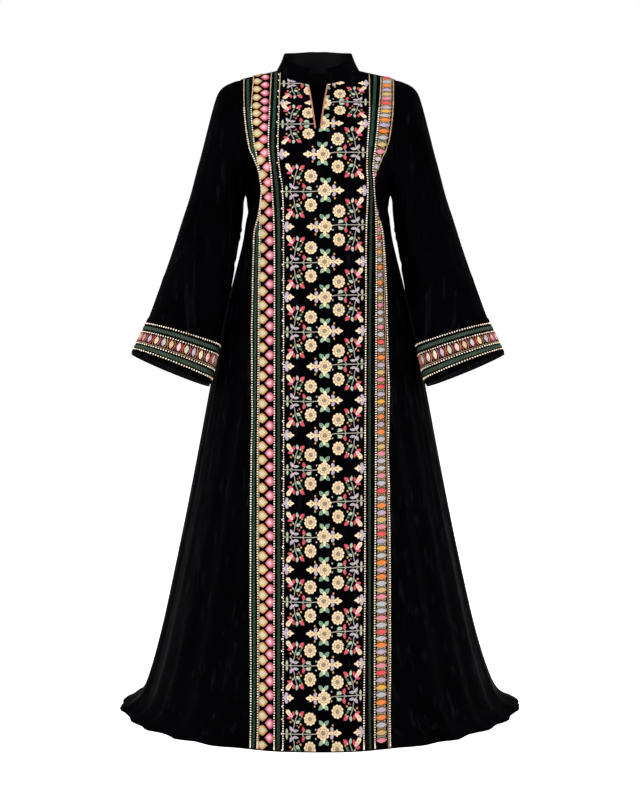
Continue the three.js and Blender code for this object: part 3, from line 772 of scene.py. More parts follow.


# The last colour is the painted sheen of the pile's streaks.
VELVET = velvet_look(
    "black velvet", rgb(0.0001, 0.0001, 0.0002), rgb(0.0008, 0.0007, 0.0013), rgb(0.0042, 0.0038, 0.0068)
)
LINING = satin_look("satin lining", rgb(0.0008, 0.0008, 0.0011), rgb(0.0028, 0.0026, 0.0036))
PIPING = thread_look("rose gold piping", rgb(0.5, 0.2, 0.13), rgb(0.3, 0.1, 0.07))
BEADS = bead_look("cream beads", rgb(0.66, 0.42, 0.25), rgb(1.0, 0.93, 0.78))
GOLD = bead_look("gold cord", rgb(0.30, 0.18, 0.09), rgb(0.56, 0.38, 0.21))
GREEN = ribbon_look("green ribbon", rgb(0.001, 0.008, 0.005), rgb(0.019, 0.064, 0.042))
MOSS = ribbon_look("moss ribbon", rgb(0.001, 0.003, 0.002), rgb(0.026, 0.046, 0.026))
TWILL = ribbon_look("grey-green twill", rgb(0.006, 0.012, 0.008), rgb(0.05, 0.078, 0.053), 2.3)
THREADS = {
    name: thread_look(f"{name} thread", rgb(*main), rgb(*shade)) for name, main, shade in (
        ("cream", (0.80, 0.62, 0.39), (0.55, 0.36, 0.19)),
        ("ivory", (0.86, 0.74, 0.52), (0.64, 0.48, 0.28)),
        ("sand", (0.50, 0.34, 0.18), (0.34, 0.2, 0.1)),
        ("tan", (0.34, 0.2, 0.1), (0.2, 0.1, 0.05)),
        ("stone", (0.27, 0.22, 0.15), (0.15, 0.12, 0.08)),
        ("pearl", (0.56, 0.55, 0.42), (0.38, 0.37, 0.27)),
        ("sage", (0.27, 0.43, 0.3), (0.12, 0.24, 0.15)),
        ("olive", (0.38, 0.42, 0.27), (0.2, 0.24, 0.13)),
        ("forest", (0.07, 0.16, 0.09), (0.03, 0.08, 0.045)),
        ("lilac", (0.46, 0.35, 0.45), (0.27, 0.19, 0.28)),
        ("coral", (0.70, 0.075, 0.08), (0.45, 0.035, 0.045)),
        ("pink", (0.44, 0.07, 0.12), (0.28, 0.035, 0.06)),
        ("rose", (0.66, 0.22, 0.28), (0.48, 0.12, 0.17)),
        ("pale", (0.80, 0.50, 0.50), (0.62, 0.32, 0.34)),
        ("ochre", (0.46, 0.25, 0.065), (0.3, 0.14, 0.03)),
        ("honey", (0.56, 0.38, 0.16), (0.4, 0.24, 0.08)),
        ("silver", (0.46, 0.43, 0.46), (0.28, 0.26, 0.29)),
        ("mustard", (0.74, 0.38, 0.05), (0.48, 0.2, 0.03)),
        ("orange", (0.82, 0.22, 0.04), (0.55, 0.11, 0.02)),
        ("stem", (0.42, 0.39, 0.33), (0.24, 0.21, 0.18)),
    )
}
COLOURS = list(THREADS)


# ---- Raised work: shapes of thread, beads and ribbon in the flat chart of a piece ----
class Raised:
    """Many small shapes on a chart: x across, z up, h off the cloth, all in millimetres."""

    def __init__(self, materials):
        self.materials = materials
        self.points, self.faces, self.slots, self.uvs = [], [], [], []
        self.count = 0

    def add(self, points, faces, slots, uvs):
        self.points.append(points)
        self.uvs.append(uvs)
        self.faces.extend((np.asarray(face) + self.count).tolist() for face in faces)
        self.slots.extend(slots)
        self.count += len(points)

    def build(self, name, chart, base=0.0, cut=None):
        points = np.concatenate(self.points)
        if cut is not None:
            gone = cut(points[:, 0], points[:, 1])
            kept = [not (np.all(gone[face]) or {-1, 1} <= set(gone[face])) for face in self.faces]
            self.faces = [face for face, keep in zip(self.faces, kept) if keep]
            self.slots = [slot for slot, keep in zip(self.slots, kept) if keep]
        place, normal = chart(points[:, 0], points[:, 1])
        return new_object(name, place + normal * (points[:, 2] + base)[:, None], self.faces, self.materials,
                          self.slots, np.concatenate(self.uvs))


def grid_faces(rows, across, start=0, closed=False):
    """The cells between rows of points; each row closes on itself where asked."""
    faces = []
    for low in range(start, start + (rows - 1) * across, across):
        high = low + across
        for i in range(across if closed else across - 1):
            after = (i + 1) % across
            faces.append([low + i, high + i, high + after, low + after])
    return faces


def ring_faces(around, rings):
    """A fan round the first point, and rings of cells round the fan."""
    fan = [[0, 1 + i, 1 + (i + 1) % around] for i in range(around)]
    return fan + grid_faces(rings, around, 1, True)


def turned_by(points, angle):
    cosine, sine = math.cos(angle), math.sin(angle)
    return points @ np.array([[cosine, sine], [-sine, cosine]])


def beside(path):
    """Directions across a path, one long."""
    way = np.gradient(path, axis=0)
    return np.stack([-way[:, 1], way[:, 0]], 1) / np.linalg.norm(way, axis=1, keepdims=True)


def spade(p):
    """Rounded behind, with two full shoulders and a point ahead."""
    x, y = np.cos(p), np.sin(p)
    return x, np.where(x > 0, np.sign(y) * np.clip(1 - np.abs(x) ** 1.25, 0, 1), y)


def trefoil(p):
    """A body that ends in three lobes."""
    x, y = np.cos(p), np.sin(p)
    return x * (0.9 + 0.1 * np.cos(6 * p)), y * (0.92 + 0.08 * np.cos(5 * p))


SHAPES = {
    "leaf": lambda p: (np.cos(p), np.sin(p) * np.abs(np.sin(p)) ** 0.6 * (1 - 0.25 * np.cos(p))),
    "drop": lambda p: (np.cos(p), np.sin(p) * np.abs(np.sin(p / 2)) ** 0.75 / 0.8),
    "oval": lambda p: (np.cos(p), np.sin(p)),
    "lozenge": lambda p: (np.cos(p) * np.abs(np.cos(p)) ** 0.35, np.sin(p) * np.abs(np.sin(p)) ** 0.35),
    "spade": spade,
    "trefoil": trefoil,
}
PETALS, STROKE_OUT = 10, 0.31
SUNK, STEM_SUNK = -0.15, -0.1  # the heights of a motif's edge and of a stem's, below the cloth
STITCH_WAY = np.array([[0.75, 0.66], [-0.66, 0.75]])
BEAD_VARIES, BEAD_SEAT = 0.07, 0.36
PETAL_STEPS = (0, 0.09, 0.3, 0.5, 0.7, 0.91)
# Rings of a rosette: how far out, height, colour, and the petals they belong to: 1 the outer ones, 0.5 the
# inner ones, which stand half a petal further round, and 0 neither.
ROSETTE_RINGS = (
    (0.15, 0.75, "stone", 0), (0.29, 0.85, "stone", 0), (0.33, 0.5, "tan", 0), (0.46, 1.1, "cream", 0.5),
    (0.58, 1.05, "ivory", 0.5), (0.63, 0.6, "tan", 0), (0.8, 1.55, "cream", 1), (0.92, 1.35, "ivory", 1),
    (1.0, SUNK, "cream", 0),
)


class Chart:
    """Puts motifs at a place of the chart, with the local scales of the cloth."""

    def __init__(self, raised, scale):
        self.raised = raised
        self.scale = scale

    def lay(self, centre, local, height, faces, slots, uvs, at, flip):
        wide, high, girth, tall = self.scale(at[1])
        x = at[0] + (centre[0] * wide + local[:, 0] * girth) * flip
        z = at[1] + centre[1] * high + local[:, 1] * tall
        faces = faces if flip > 0 else [face[::-1] for face in faces]
        self.raised.add(np.stack([x, z, height], 1), faces, slots, uvs)

    def blob(self, at, centre, size, angle=0.0, kind="leaf", colours=("sage",), rise=1.1, flip=1,
             around=12, fills=None):
        """A padded satin-stitch shape, with rings of colours from its middle outwards."""
        phase = np.arange(around) / around * TURN
        x, y = SHAPES[kind](phase)
        outline = np.stack([x * size[0] / 2, y * size[1] / 2], 1)
        fills = fills or np.linspace(0, 1, max(len(colours), 2) + 1)[1:]
        spread = np.concatenate([[[0, 0]]] + [outline * f for f in fills])
        heights = [rise * (1 - f**2) ** 0.5 if f < 1 else SUNK for f in fills]
        picked = [COLOURS.index(colours[min(i, len(colours) - 1)]) for i in range(len(fills))]
        uvs = spread @ STITCH_WAY + np.array(centre)
        self.lay(centre, turned_by(spread, math.radians(angle)), np.append(rise, np.repeat(heights, around)),
                 ring_faces(around, len(fills)), np.repeat(picked, around).tolist(), uvs, at, flip)

    def rosette(self, at, centre, size, flip=1, phase=0.0):
        """A flower of two rings of petals round a knotted middle."""
        steps = (np.arange(PETALS)[:, None] + np.array(PETAL_STEPS)).ravel()
        turn = steps / PETALS * TURN + phase
        around = len(turn)
        outline = np.stack([np.cos(turn) * size[0] / 2, np.sin(turn) * size[1] / 2], 1)
        wave = np.abs(np.sin(math.pi * steps)) ** 0.6
        parted = np.isin(np.arange(around) % len(PETAL_STEPS), (0, len(PETAL_STEPS) - 1))
        spread, high, uvs, slots = [[[0, 0]]], [[0.9]], [[[0, 0]]], []
        for fill, height, tone, part in ROSETTE_RINGS:
            shift = len(PETAL_STEPS) // 2 if part == 0.5 else 0
            swell = 1 - 0.2 * (1 - wave) * smooth(fill, 0.5, 0.95)
            spread.append(outline * (fill * swell)[:, None])
            high.append(height * (0.7 + 0.4 * np.roll(wave, shift)) if part else np.full(around, height))
            uvs.append(np.stack([turn * size[0] * 0.4, np.full(around, size[0] / 2 * fill)], 1))
            line = "tan" if part == 1 else "sand"
            slots += [COLOURS.index(line if part and dark else tone) for dark in np.roll(parted, shift)]
        self.lay(centre, np.concatenate(spread), np.concatenate(high), ring_faces(around, len(ROSETTE_RINGS)),
                 slots, np.concatenate(uvs), at, flip)
        for k in range(3):
            angle = phase + 0.9 + k * TURN / 3 + 0.5 * math.sin(5 * k + at[1])
            x = centre[0] + math.cos(angle) * size[0] * STROKE_OUT
            y = centre[1] + math.sin(angle) * size[1] * STROKE_OUT
            self.blob(at, (x, y), (2.5, 1.2), math.degrees(angle) + 90, "oval", ("tan",), 1.5, flip, 8)

    def stem(self, at, path, wide=1.25, colour="stem", rise=0.8, flip=1):
        """A line of thread along a path, highest in its middle."""
        scales = np.array(self.scale(at[1]))
        path = np.asarray(path, float) * scales[:2]
        side = beside(path) * wide / 2
        local = np.stack([path - side, path, path + side], 1).reshape(-1, 2) / scales[2:]
        count = len(path)
        faces = grid_faces(count, 3)
        uvs = np.stack([np.repeat(distances(*path.T), 3) * 0.7, np.tile([0, 0.6, 1.2], count)], 1)
        height = np.tile([STEM_SUNK, rise, STEM_SUNK], count)
        self.lay((0, 0), local, height, faces, [COLOURS.index(colour)] * len(faces), uvs, at, flip)


def bead_template(long, wide, sides=7, rings=4):
    rows = []
    turn = np.arange(sides) / sides * TURN
    for polar in math.pi * np.arange(1, rings) / rings:
        reach = wide / 2 * math.sin(polar)
        ahead = np.full(sides, long / 2 * math.cos(polar))
        rows.append(np.stack([reach * np.cos(turn), ahead, reach * np.sin(turn)], 1))
    points = np.concatenate([[[0, long / 2, 0]], *rows, [[0, -long / 2, 0]]])
    last, low = len(points) - 1, 1 + (rings - 2) * sides
    faces = ring_faces(sides, rings - 1) + [[low + i, last, low + (i + 1) % sides] for i in range(sides)]
    return points, faces


def bead_row(raised, places, turns, long=3.8, wide=3.4, slot=0):
    """Beads at places of the chart, each lying at a turn from the chart's z."""
    points, faces = bead_template(long, wide)
    for i, (place, turn) in enumerate(zip(places, turns)):
        size = 1 + BEAD_VARIES * math.sin(12.9 * i + 3.1 * place[0])
        flat = turned_by(points[:, :2] * size, turn) + np.array(place)
        full = np.concatenate([flat, points[:, 2:] * size + wide * BEAD_SEAT], 1)
        raised.add(full, faces, [slot] * len(faces), points[:, :2])


RIBBON_RISE = 0.8
RIBBON_ACROSS = np.linspace(-1, 1, 7)
RIBBON_CROWN = RIBBON_RISE * np.clip(1 - RIBBON_ACROSS**6, 0, 1)


def strip(raised, middle, z, half, slot):
    """A ribbon along z, with its middle at each z."""
    across = half * RIBBON_ACROSS
    x = middle[:, None] + across
    points = np.stack(np.broadcast_arrays(x, z[:, None], RIBBON_CROWN), -1).reshape(-1, 3)
    faces = grid_faces(len(z), len(across))
    uvs = np.stack(np.broadcast_arrays(across, distances(middle, z)[:, None]), -1).reshape(-1, 2)
    raised.add(points, faces, [slot] * len(faces), uvs)


# ---- The front panel's chart ----
def front_place(x, z):
    drop = -z
    along = np.interp(drop, fine_drop, fine_along)
    climb = np.clip((z + UNDERARM_DROP) / (ridge(np.abs(x)) + UNDERARM_DROP), 0, 1)
    above = np.arcsin(np.clip(climb ** (YOKE_RISE / 2), 0, 1)) / QUARTER
    level = np.where(drop > UNDERARM_DROP, -along / SKIRT, above)
    return theta_of(x, level), level


EDGE_GAP, HEM_GAP, NECK_GAP = 0.6, 0.5, 0.004


def neck_level(x):
    """The level at which the neck cuts the front, at a distance from the middle."""
    sine = np.clip(np.abs(x) / NECK_SIDE, 0, 1)
    return 1 - (1 - NECK_FRONT) * np.sqrt(1 - sine**2)


def cut_away(x, z):
    """Where the chart leaves the cloth: -1 in the neck or slit left of the middle, 1 right of it, 2 past
    the hem or the shoulder seam, and 0 where it stays on the cloth."""
    theta, level = front_place(x, z)
    open_slit = (level > SLIT_BOTTOM) & (np.abs(theta) < slit_theta(level))
    open_neck = (np.abs(x) < NECK_SIDE) & (level > neck_level(x))
    past_ends = (z < -SECTIONS["drop"][-1]) | (z > ridge(np.abs(x)))
    return np.where(past_ends, 2, np.where(open_slit | open_neck, np.where(x < 0, -1, 1), 0))


def reach_at(side, level):
    """How far from the middle the front panel reaches, on the given side."""
    drop = drop_of(level)
    return np.where(level > SLIT_BOTTOM, armhole_side(drop), princess_at(side, drop))


def front_chart(x, z):
    """Points and normals of the front panel at places of the chart, kept inside its edges."""
    z = np.clip(z, HEM_GAP - SECTIONS["drop"][-1], None)
    limit = reach_at(x, front_place(x, z)[1])
    x = np.clip(x, EDGE_GAP - limit, limit - EDGE_GAP)
    theta, level = front_place(x, z)
    level = np.where(np.abs(x) < NECK_SIDE, np.minimum(level, neck_level(x) - NECK_GAP), level)
    slit = slit_theta(level)
    inside = (level > SLIT_BOTTOM) & (np.abs(theta) < slit)
    theta = np.where(inside, np.where(x < 0, -slit, slit), theta)
    return body_point(theta, level), normal_of(body_point, theta, level)


# Rows of the repeat: heights of the flowers in the middle of the panel, the first ones foreshortened
# where the cloth turns over to the shoulder.
ROW, FIRST_ROW = 74.1, 4
ROW_HEIGHTS = np.array([
    29.1, -12.9, -56.2, -99.1, -163.5, -238.5, -313.5, -385.6, -458.3, -527.4, -599, -667.3,
    -737.4, -803.9, -872.2, -936.3, -1001.2, -1062, -1124.4, -1183.7, -1247.4, -1311.9, -1369.9, -1428,
])
row_places = (np.arange(len(ROW_HEIGHTS)) - FIRST_ROW) * ROW
height_at = through(row_places, ROW_HEIGHTS)

# Lines of the two borders, from the middle of the panel, at heights on it.
BORDERS = columns(
    "drop outerL ribbonL beadL2 ochre pink beadL3 ribbonL2 beadL4 beadR1 ribbonR beadR2 outerR", [
    [-20, 156, 148, 136, 126.5, 112, 98, 88, 79, 108, 121, 133, 160],
    [12, 156, 148, 136.3, 127, 111.8, 98.5, 88.6, 79.8, 108, 120, 132.3, 159],
    [79, 153, 145.3, 138.8, 127.2, 112.3, 100.8, 91.2, 81.2, 106.9, 115.7, 126.2, 156.2],
    [146, 142.7, 136, 130.6, 122.3, 113, 102.2, 93.6, 82.6, 102.4, 110, 119.3, 145.3],
    [190, 127, 123.5, 122.6, 116.4, 106.3, 97.6, 90.2, 79.8, 101, 107, 114, 131],
    [234, 120.6, 119.4, 118.6, 113.4, 104.2, 94.3, 84.9, 73.2, 103, 111.2, 117.4, 119.6],
    [326, 132.4, 127, 121.4, 114.6, 101.4, 90.6, 81.4, 71.3, 100, 110.6, 121.2, 134],
    [500, 135.8, 129.4, 122.6, 113.4, 100.4, 89.2, 80.9, 70.6, 98.6, 107.6, 120, 139],
    [745, 136.4, 130.6, 122.8, 112.8, 99.6, 88.8, 80.2, 69.8, 96.4, 106.2, 118.4, 141.4],
    [1060, 135.6, 129.4, 122, 111.4, 98.2, 88.6, 79.4, 69.9, 95.2, 105.6, 115.6, 142],
    [1342, 135.6, 129.4, 121.4, 110.6, 97.6, 86.9, 78.9, 69.4, 91.8, 104.9, 114.4, 142.4],
])
border = {name: through(BORDERS["drop"], values) for name, values in BORDERS.items()}


BORDER_SIDE = 150.0  # a distance from the middle that lies in the borders


def side_limit(side, z):
    """How far out the front panel reaches at a height, on the given side."""
    return reach_at(side, front_place(np.full(np.shape(z), BORDER_SIDE), z)[1])


def pitch_at(z):
    """How far apart the rows are at a height, as a share of their full pitch."""
    row = np.interp(-z, -ROW_HEIGHTS, row_places)
    return float(height_at(row - ROW) - height_at(row + ROW)) / 2 / ROW


FIELD = 169.5  # between the inner bead lines, where the motifs have their full width
WIDEST, NARROWED = 1.04, 0.06
CROWDED = 0.37
TURN_FROM, TURN_TO = -215, -110  # heights between which the cloth turns over to the shoulder
MOTIF_SIDE, MOTIF_HALF = 22.0, 2


def repeat_scale(z):
    """How wide and how far apart the repeat is at a height, and how wide and tall its motifs are."""
    field = float(border["beadL4"](-z) + border["beadR1"](-z)) / FIELD
    pitch = pitch_at(z)
    heights = np.array([z - MOTIF_HALF, z + MOTIF_HALF])
    low, top = plain_body(*front_place(np.full(2, MOTIF_SIDE), heights))
    tall = min(2 * MOTIF_HALF / np.linalg.norm(top - low), 1)
    high = tall * (1 - CROWDED * (1 - min(pitch / tall, 1)))
    turned = smooth(z, TURN_FROM, TURN_TO)
    girth = min(field, WIDEST) * (1 - NARROWED * smooth(z, -150, -40))
    return field, float(lerp(high, pitch, turned)), float(girth), float(lerp(tall, pitch**0.65, turned))


# Motifs: x, y, length, width, angle, shape, colours from the middle out, height, and steps round. First
# those of a branch, whose y is from its stem.
SPRAY = (
    (32.0, 7.6, 12.2, 7.2, 168, "leaf", "sage pearl sage", 1.1, 12),
    (28.6, 4.6, 6, 3.6, 200, "leaf", "pearl", 1.1, 8),
    (42.0, 11.6, 11.8, 7.2, 78, "drop", "coral coral pink", 1.4, 12),
    (57.8, 7.6, 12, 6.0, 172, "leaf", "lilac lilac silver", 1.1, 12),
    (67.6, 12.2, 12, 6.6, 64, "leaf", "lilac silver lilac", 1.1, 12),
    (63.4, 9.2, 4.4, 3.0, 40, "oval", "cream", 1.2, 8),
    (76.6, 6.8, 11.4, 5.4, 90, "leaf", "pearl olive", 1.1, 12),
    (53.4, 28.6, 11.2, 7.0, 152, "leaf", "sage pearl sage", 1.1, 12),
    (48.6, 36.4, 8.4, 5.2, 140, "leaf", "forest forest", 1.1, 10),
    (64.4, 32.4, 5.4, 3.2, 55, "leaf", "pearl", 1.1, 8),
    (69.0, 28.4, 4.6, 4.8, 0, "oval", "orange ochre", 1.3, 8),
    (47.6, 23.2, 4.6, 5.0, 0, "oval", "mustard ochre", 1.3, 8),
    (55.0, 19.4, 3.4, 2.4, 70, "oval", "tan", 1.1, 8),
    (45.2, 42.4, 4.2, 4.4, 0, "oval", "mustard ochre", 1.3, 8),
    (51.4, 16.4, 5.0, 3.0, 118, "oval", "rose", 1.1, 8),
    (45.0, 50.2, 12, 8.6, 136, "drop", "coral coral pink", 1.4, 12),
    (49.0, 46.0, 5.0, 3.6, 136, "oval", "pale", 1.5, 8),
    (55.8, 51.2, 11.6, 6.6, 80, "leaf", "sage pearl sage", 1.1, 12),
    (63.4, 48.6, 11.4, 6.6, 104, "leaf", "coral pink coral", 1.1, 12),
    (70.8, 38.8, 11.8, 6.8, -16, "leaf", "coral coral pink", 1.1, 12),
    (68.6, 44.6, 11, 8.6, 56, "oval", "rose pale pale", 1.6, 14),
    (72.6, 49.8, 12.6, 9.8, 56, "trefoil", "sand cream ivory", 1.8, 18),
    (76.6, 52.2, 5.4, 4.0, 22, "oval", "ivory", 1.4, 8),
    (76.2, 55.6, 5.4, 4.0, 60, "oval", "cream", 1.4, 8),
    (73.0, 55.4, 5.4, 4.0, 98, "oval", "ivory", 1.4, 8),
    (15.8, 10.6, 3.2, 4.2, 20, "oval", "silver", 1.0, 8),
)
# The leaves behind the middle flower, whose y is from LEAF_RISE.
LEAF_RISE = 1.2
LEAVES = (
    (-7.0, 20.2, 13, 8.6, 132, "leaf", "sage forest sage", 1.2, 12),
    (4.6, 20.4, 13, 8.6, 50, "leaf", "sage olive sage", 1.2, 12),
)
# What lies on both sides of the row's middle, and on the middle itself.
BOTH_SIDES = (
    (-1.4, 15.6, 9.4, 7.4, 90, "oval", "cream ivory", 1.5, 12),
    (-18.4, 7.4, 10.4, 7.4, 72, "oval", "lilac silver lilac", 1.2, 12),
    (-20.0, 16.0, 4.2, 5.4, 0, "oval", "mustard ochre", 1.3, 8),
    (-28.6, 4.8, 6.4, 4.6, 130, "oval", "ivory cream", 1.4, 10),
    (-79.0, 6.4, 10.4, 7.4, 84, "oval", "silver lilac lilac", 1.2, 12),
    (-71.6, 4.2, 6.4, 4.6, 130, "oval", "pale cream", 1.3, 10),
)
BLOSSOM = (
    (-16.8, 0, 10, 7.4, 0, "oval", "tan cream cream", 1.4, 12),
    (-26.4, 0, 12.6, 9.6, 180, "oval", "tan cream cream", 1.7, 16),
    (-33.4, 0, 11, 7.6, 180, "drop", "cream ivory", 1.5, 12),
    (-81.4, 0, 9.4, 9.2, 0, "oval", "silver lilac silver", 1.4, 12),
    (-73.0, 0, 12, 8.2, 0, "oval", "tan cream ivory", 1.6, 14),
    (-67.0, 0, 7.4, 5.4, 0, "drop", "ivory", 1.3, 10),
)
# Twigs of a branch: width and path.
TWIGS = (
    (1.6, ((70.4, 0.2), (67, 5.0), (63.4, 10.4), (61.4, 18), (60.4, 27), (58.4, 35.4), (55.2, 43.8))),
    (1.6, ((44.8, 0), (42.8, 3.4), (40.8, 7))),
    (1.1, ((60.6, 27), (64.4, 32.6), (67.6, 38.6))),
    (0.9, ((60.2, 31), (56.6, 34))),
)
STEM_START, STEM_END, STEM_BEND = 12, 84.5, 24
OUTER_FLOWER, MIDDLE_FLOWER = (28.1, 29.9), (29.2, 27.4)  # a place and a size
SQUEEZED_BELOW = -600

work = Raised([THREADS[name] for name in COLOURS])
chart = Chart(work, repeat_scale)


def sew(table, at, flip, rise=0.0, side=1, squeeze=1.0):
    """The motifs of a table, turned over to one side of a line and to one hand."""
    for x, y, long, wide, angle, kind, colours, height, around in table:
        centre = (x, rise + side * y * squeeze)
        chart.blob(at, centre, (long, wide), side * angle, kind, colours.split(), height, flip, around)


def spray(at, flip, rise, squeeze):
    """The branch that leaves the stem on both sides, with its leaves, buds, berries and bell flower."""
    for side in (1, -1):
        for wide, path in TWIGS:
            chart.stem(at, [(x, rise + side * y * squeeze) for x, y in path], wide, flip=flip)
        sew(SPRAY, at, flip, rise, side, squeeze)


def unit(row, flip):
    """One row of the repeat: the flower in the middle, its stem to one side, its blossom to the other."""
    z = float(height_at((row - FIRST_ROW) * ROW))
    middle = float(border["beadR1"](-z) - border["beadL4"](-z)) / 2
    at = (middle + (0.2 + 0.7 * flip) * repeat_scale(z)[0], z)
    rise = 0.9 + 3.2 * flip
    along_stem = np.linspace(STEM_START, STEM_END, 14)
    chart.stem(at, [(x, rise * min(1, x / STEM_BEND)) for x in along_stem], 1.7, flip=flip)
    spray(at, flip, rise, min(1, pitch_at(z)) ** 0.7 if z < SQUEEZED_BELOW else 1)
    for side in (1, -1):
        centre = (OUTER_FLOWER[0], 1.2 + 1.6 * flip + side * OUTER_FLOWER[1])
        chart.rosette(at, centre, (26 + 0.6 * side, 28.2), flip, 0.2 + row)
        sew(LEAVES, at, flip, LEAF_RISE, side)
        sew(BOTH_SIDES, at, flip, 0, side)
    sew(BLOSSOM, at, flip)
    chart.rosette(at, (0, 0), MIDDLE_FLOWER, flip, 0.1 + 0.7 * row)


for row in range(1, len(ROW_HEIGHTS) - 1):
    unit(row, 1 if row % 2 == 0 else -1)


# ---- Borders of the front panel ----
DROP_PITCH = 30.4
LOZENGE_PITCH = 16.1
LOZENGES = (
    "silver rose silver coral silver orange lilac honey rose coral "
    "lilac mustard silver orange lilac orange silver honey rose silver"
).split()
LEAST_LOZENGE, LOZENGE_TALL = 4.6, 10.8
CROSSING = ((-0.46, -4.6), (-0.2, -1.4), (0.2, 1.4), (0.46, 4.6))  # x in lozenge widths
PATCH_EDGE = 3  # how near the panel's edge a motif of the borders may come
lowest, highest = -1341.2, 30.0
ON_CLOTH = 0.05


def along_rows(pitch, phase):
    places = np.arange(row_places[0], row_places[-1], pitch) + phase
    heights = height_at(places)
    return heights[(heights > lowest) & (heights < highest)]


def ridge_drop(name, phase, size, angle, colours, fills, centre):
    """A column of pointed drops in rings of thread, each with short strokes on its middle."""
    for i, z in enumerate(along_rows(DROP_PITCH, phase)):
        x = -float(border[name](-z))
        if x - PATCH_EDGE < -side_limit(-1, z):
            continue
        chart.blob((x, z), (0, 0), size, angle, "spade", colours, 2.0, 1, 20, fills)
        for k in range(3):
            spot = (1.5 * (k - 1), 1.0 * math.sin(2.1 * i + 2.4 * k))
            chart.blob((x, z), spot, (3.4, 1.0), 62, "oval", (centre,), 2.35, 1, 8)


def lozenge_column():
    """Lozenges up the right border, with crossed threads and two knots between each and the next."""
    gap = LOZENGE_PITCH / 2
    for i, z in enumerate(along_rows(LOZENGE_PITCH, 0)):
        limit = float(side_limit(1, z))
        inner = float(border["beadR2"](-z)) + 2.8
        outer = min(float(border["outerR"](-z)), limit) - 2.2
        if inner > limit - PATCH_EDGE:
            continue
        wide = max(outer - inner, LEAST_LOZENGE)
        at = (min(inner, limit - wide - EDGE_GAP) + wide / 2, z)
        tone = LOZENGES[i % len(LOZENGES)]
        chart.blob(at, (0, 0), (wide, LOZENGE_TALL), 0, "lozenge", (tone, tone), 1.8, 1, 20, (0.55, 1.0))
        crossing = ("tan", "ochre", "olive")[i % 3]
        for side in (1, -1):
            chart.stem(at, [(side * wide * x, gap + y) for x, y in CROSSING], 1.0, crossing, 0.8)
            knot = (side * wide * 0.33, gap)
            chart.blob(at, knot, (3.6, 2.8), 0, "oval", ("pearl", "pearl", "tan"), 1.0, 1, 8)


ridge_drop("ochre", 4, (21, 21), 0, ("pearl", "pearl", "honey", "ochre"), (0.36, 0.5, 0.78, 1.0), "stone")
ridge_drop("pink", 4 + DROP_PITCH / 2, (20, 20.6), 180, ("pale", "rose", "pink"), (0.4, 0.72, 1.0), "rose")
lozenge_column()
embroidery = work.build("embroidery", front_chart, ON_CLOTH, cut_away)

# Ribbons: which line, its side, half width, slot, top and foot.
ribbons = Raised([GREEN, MOSS])
fine_z = np.concatenate([-fine_drop[::-3], np.linspace(-UNDERARM_DROP, 18, 160)[1:]])
fine_z = fine_z[fine_z > lowest]
for name, side, half, slot, top, foot in (
    ("ribbonL", -1, 2.9, 0, -2, -196), ("ribbonL", -1, 2.2, 0, -306, lowest),
    ("ribbonL2", -1, 2.9, 0, 12, -112), ("ribbonL2", -1, 3.0, 1, -112, lowest),
    ("ribbonR", 1, 3.2, 0, 6, -150), ("ribbonR", 1, 2.5, 1, -150, lowest),
):
    z = fine_z[(fine_z < top) & (fine_z >= foot)]
    strip(ribbons, side * border[name](-z), z, half, slot)
ribbon_work = ribbons.build("panel_ribbons", front_chart, ON_CLOTH, cut_away)

# Lines of beads and of gold cord
beads = Raised([BEADS, GOLD])
CORD = {"slot": 1, "pitch": 3.4, "full": 1.0, "wide": 2.4}
THIN_CORD = {"slot": 1, "pitch": 3.2, "full": 1.0}
CORD_END, BEAD_START, THIN_START = -64.0, -62.0, -300


def bead_line(name, side, top, foot=lowest, hold=False, wide=3.4, shift=0.0, slot=0, pitch=5.0, full=0.62):
    """A line of beads, each filling a share of its pitch, and held inside the panel's edge where asked."""
    z = fine_z[(fine_z < top) & (fine_z > foot)]
    x = side * (border[name](-z) + shift)
    if hold:
        x = side * np.minimum(np.abs(x), side_limit(side, z) - wide / 2 - 0.5)
    gone = distances(*front_chart(x, z)[0].T)
    marks = np.arange(pitch / 2, gone[-1], pitch)
    spots = np.stack([np.interp(marks, gone, x), np.interp(marks, gone, z)], 1)
    way = np.gradient(spots, axis=0)
    bead_row(beads, spots, -np.arctan2(way[:, 0], way[:, 1]), pitch * full, wide, slot)


for name, side, top, wide in (
    ("outerL", -1, 0, 3.5), ("beadL2", -1, 6, 2.8), ("beadL3", -1, 14, 3.2), ("beadL4", -1, 12, 2.9),
    ("beadR1", 1, 8, 3.5), ("beadR2", 1, 4, 3.5),
):
    hold = name == "outerL"
    bead_line(name, side, top, CORD_END, hold, **CORD)
    if name != "beadL2":
        bead_line(name, side, BEAD_START, hold=hold, wide=wide)
bead_line("beadL2", -1, BEAD_START, -212, wide=2.8)
bead_line("beadL2", -1, -232, wide=2.8)
bead_line("beadL2", -1, THIN_START, shift=-2.6, wide=1.5, **THIN_CORD)
bead_line("outerR", 1, -2, -196, True, **CORD)
bead_line("outerR", 1, THIN_START, hold=True, wide=1.6, **THIN_CORD)
bead_line("outerR", 1, THIN_START, hold=True, shift=20)
for i, z in enumerate(along_rows(DROP_PITCH, 9)):
    x = -float(border["beadL4"](-z)) - 2.3 - 0.5 * math.sin(2 * i)
    bead_row(beads, [(x, z + 3 * math.sin(3.7 * i))], [0.3], 3.2, 3.0)
bead_work = beads.build("panel_beads", front_chart, ON_CLOTH, cut_away)

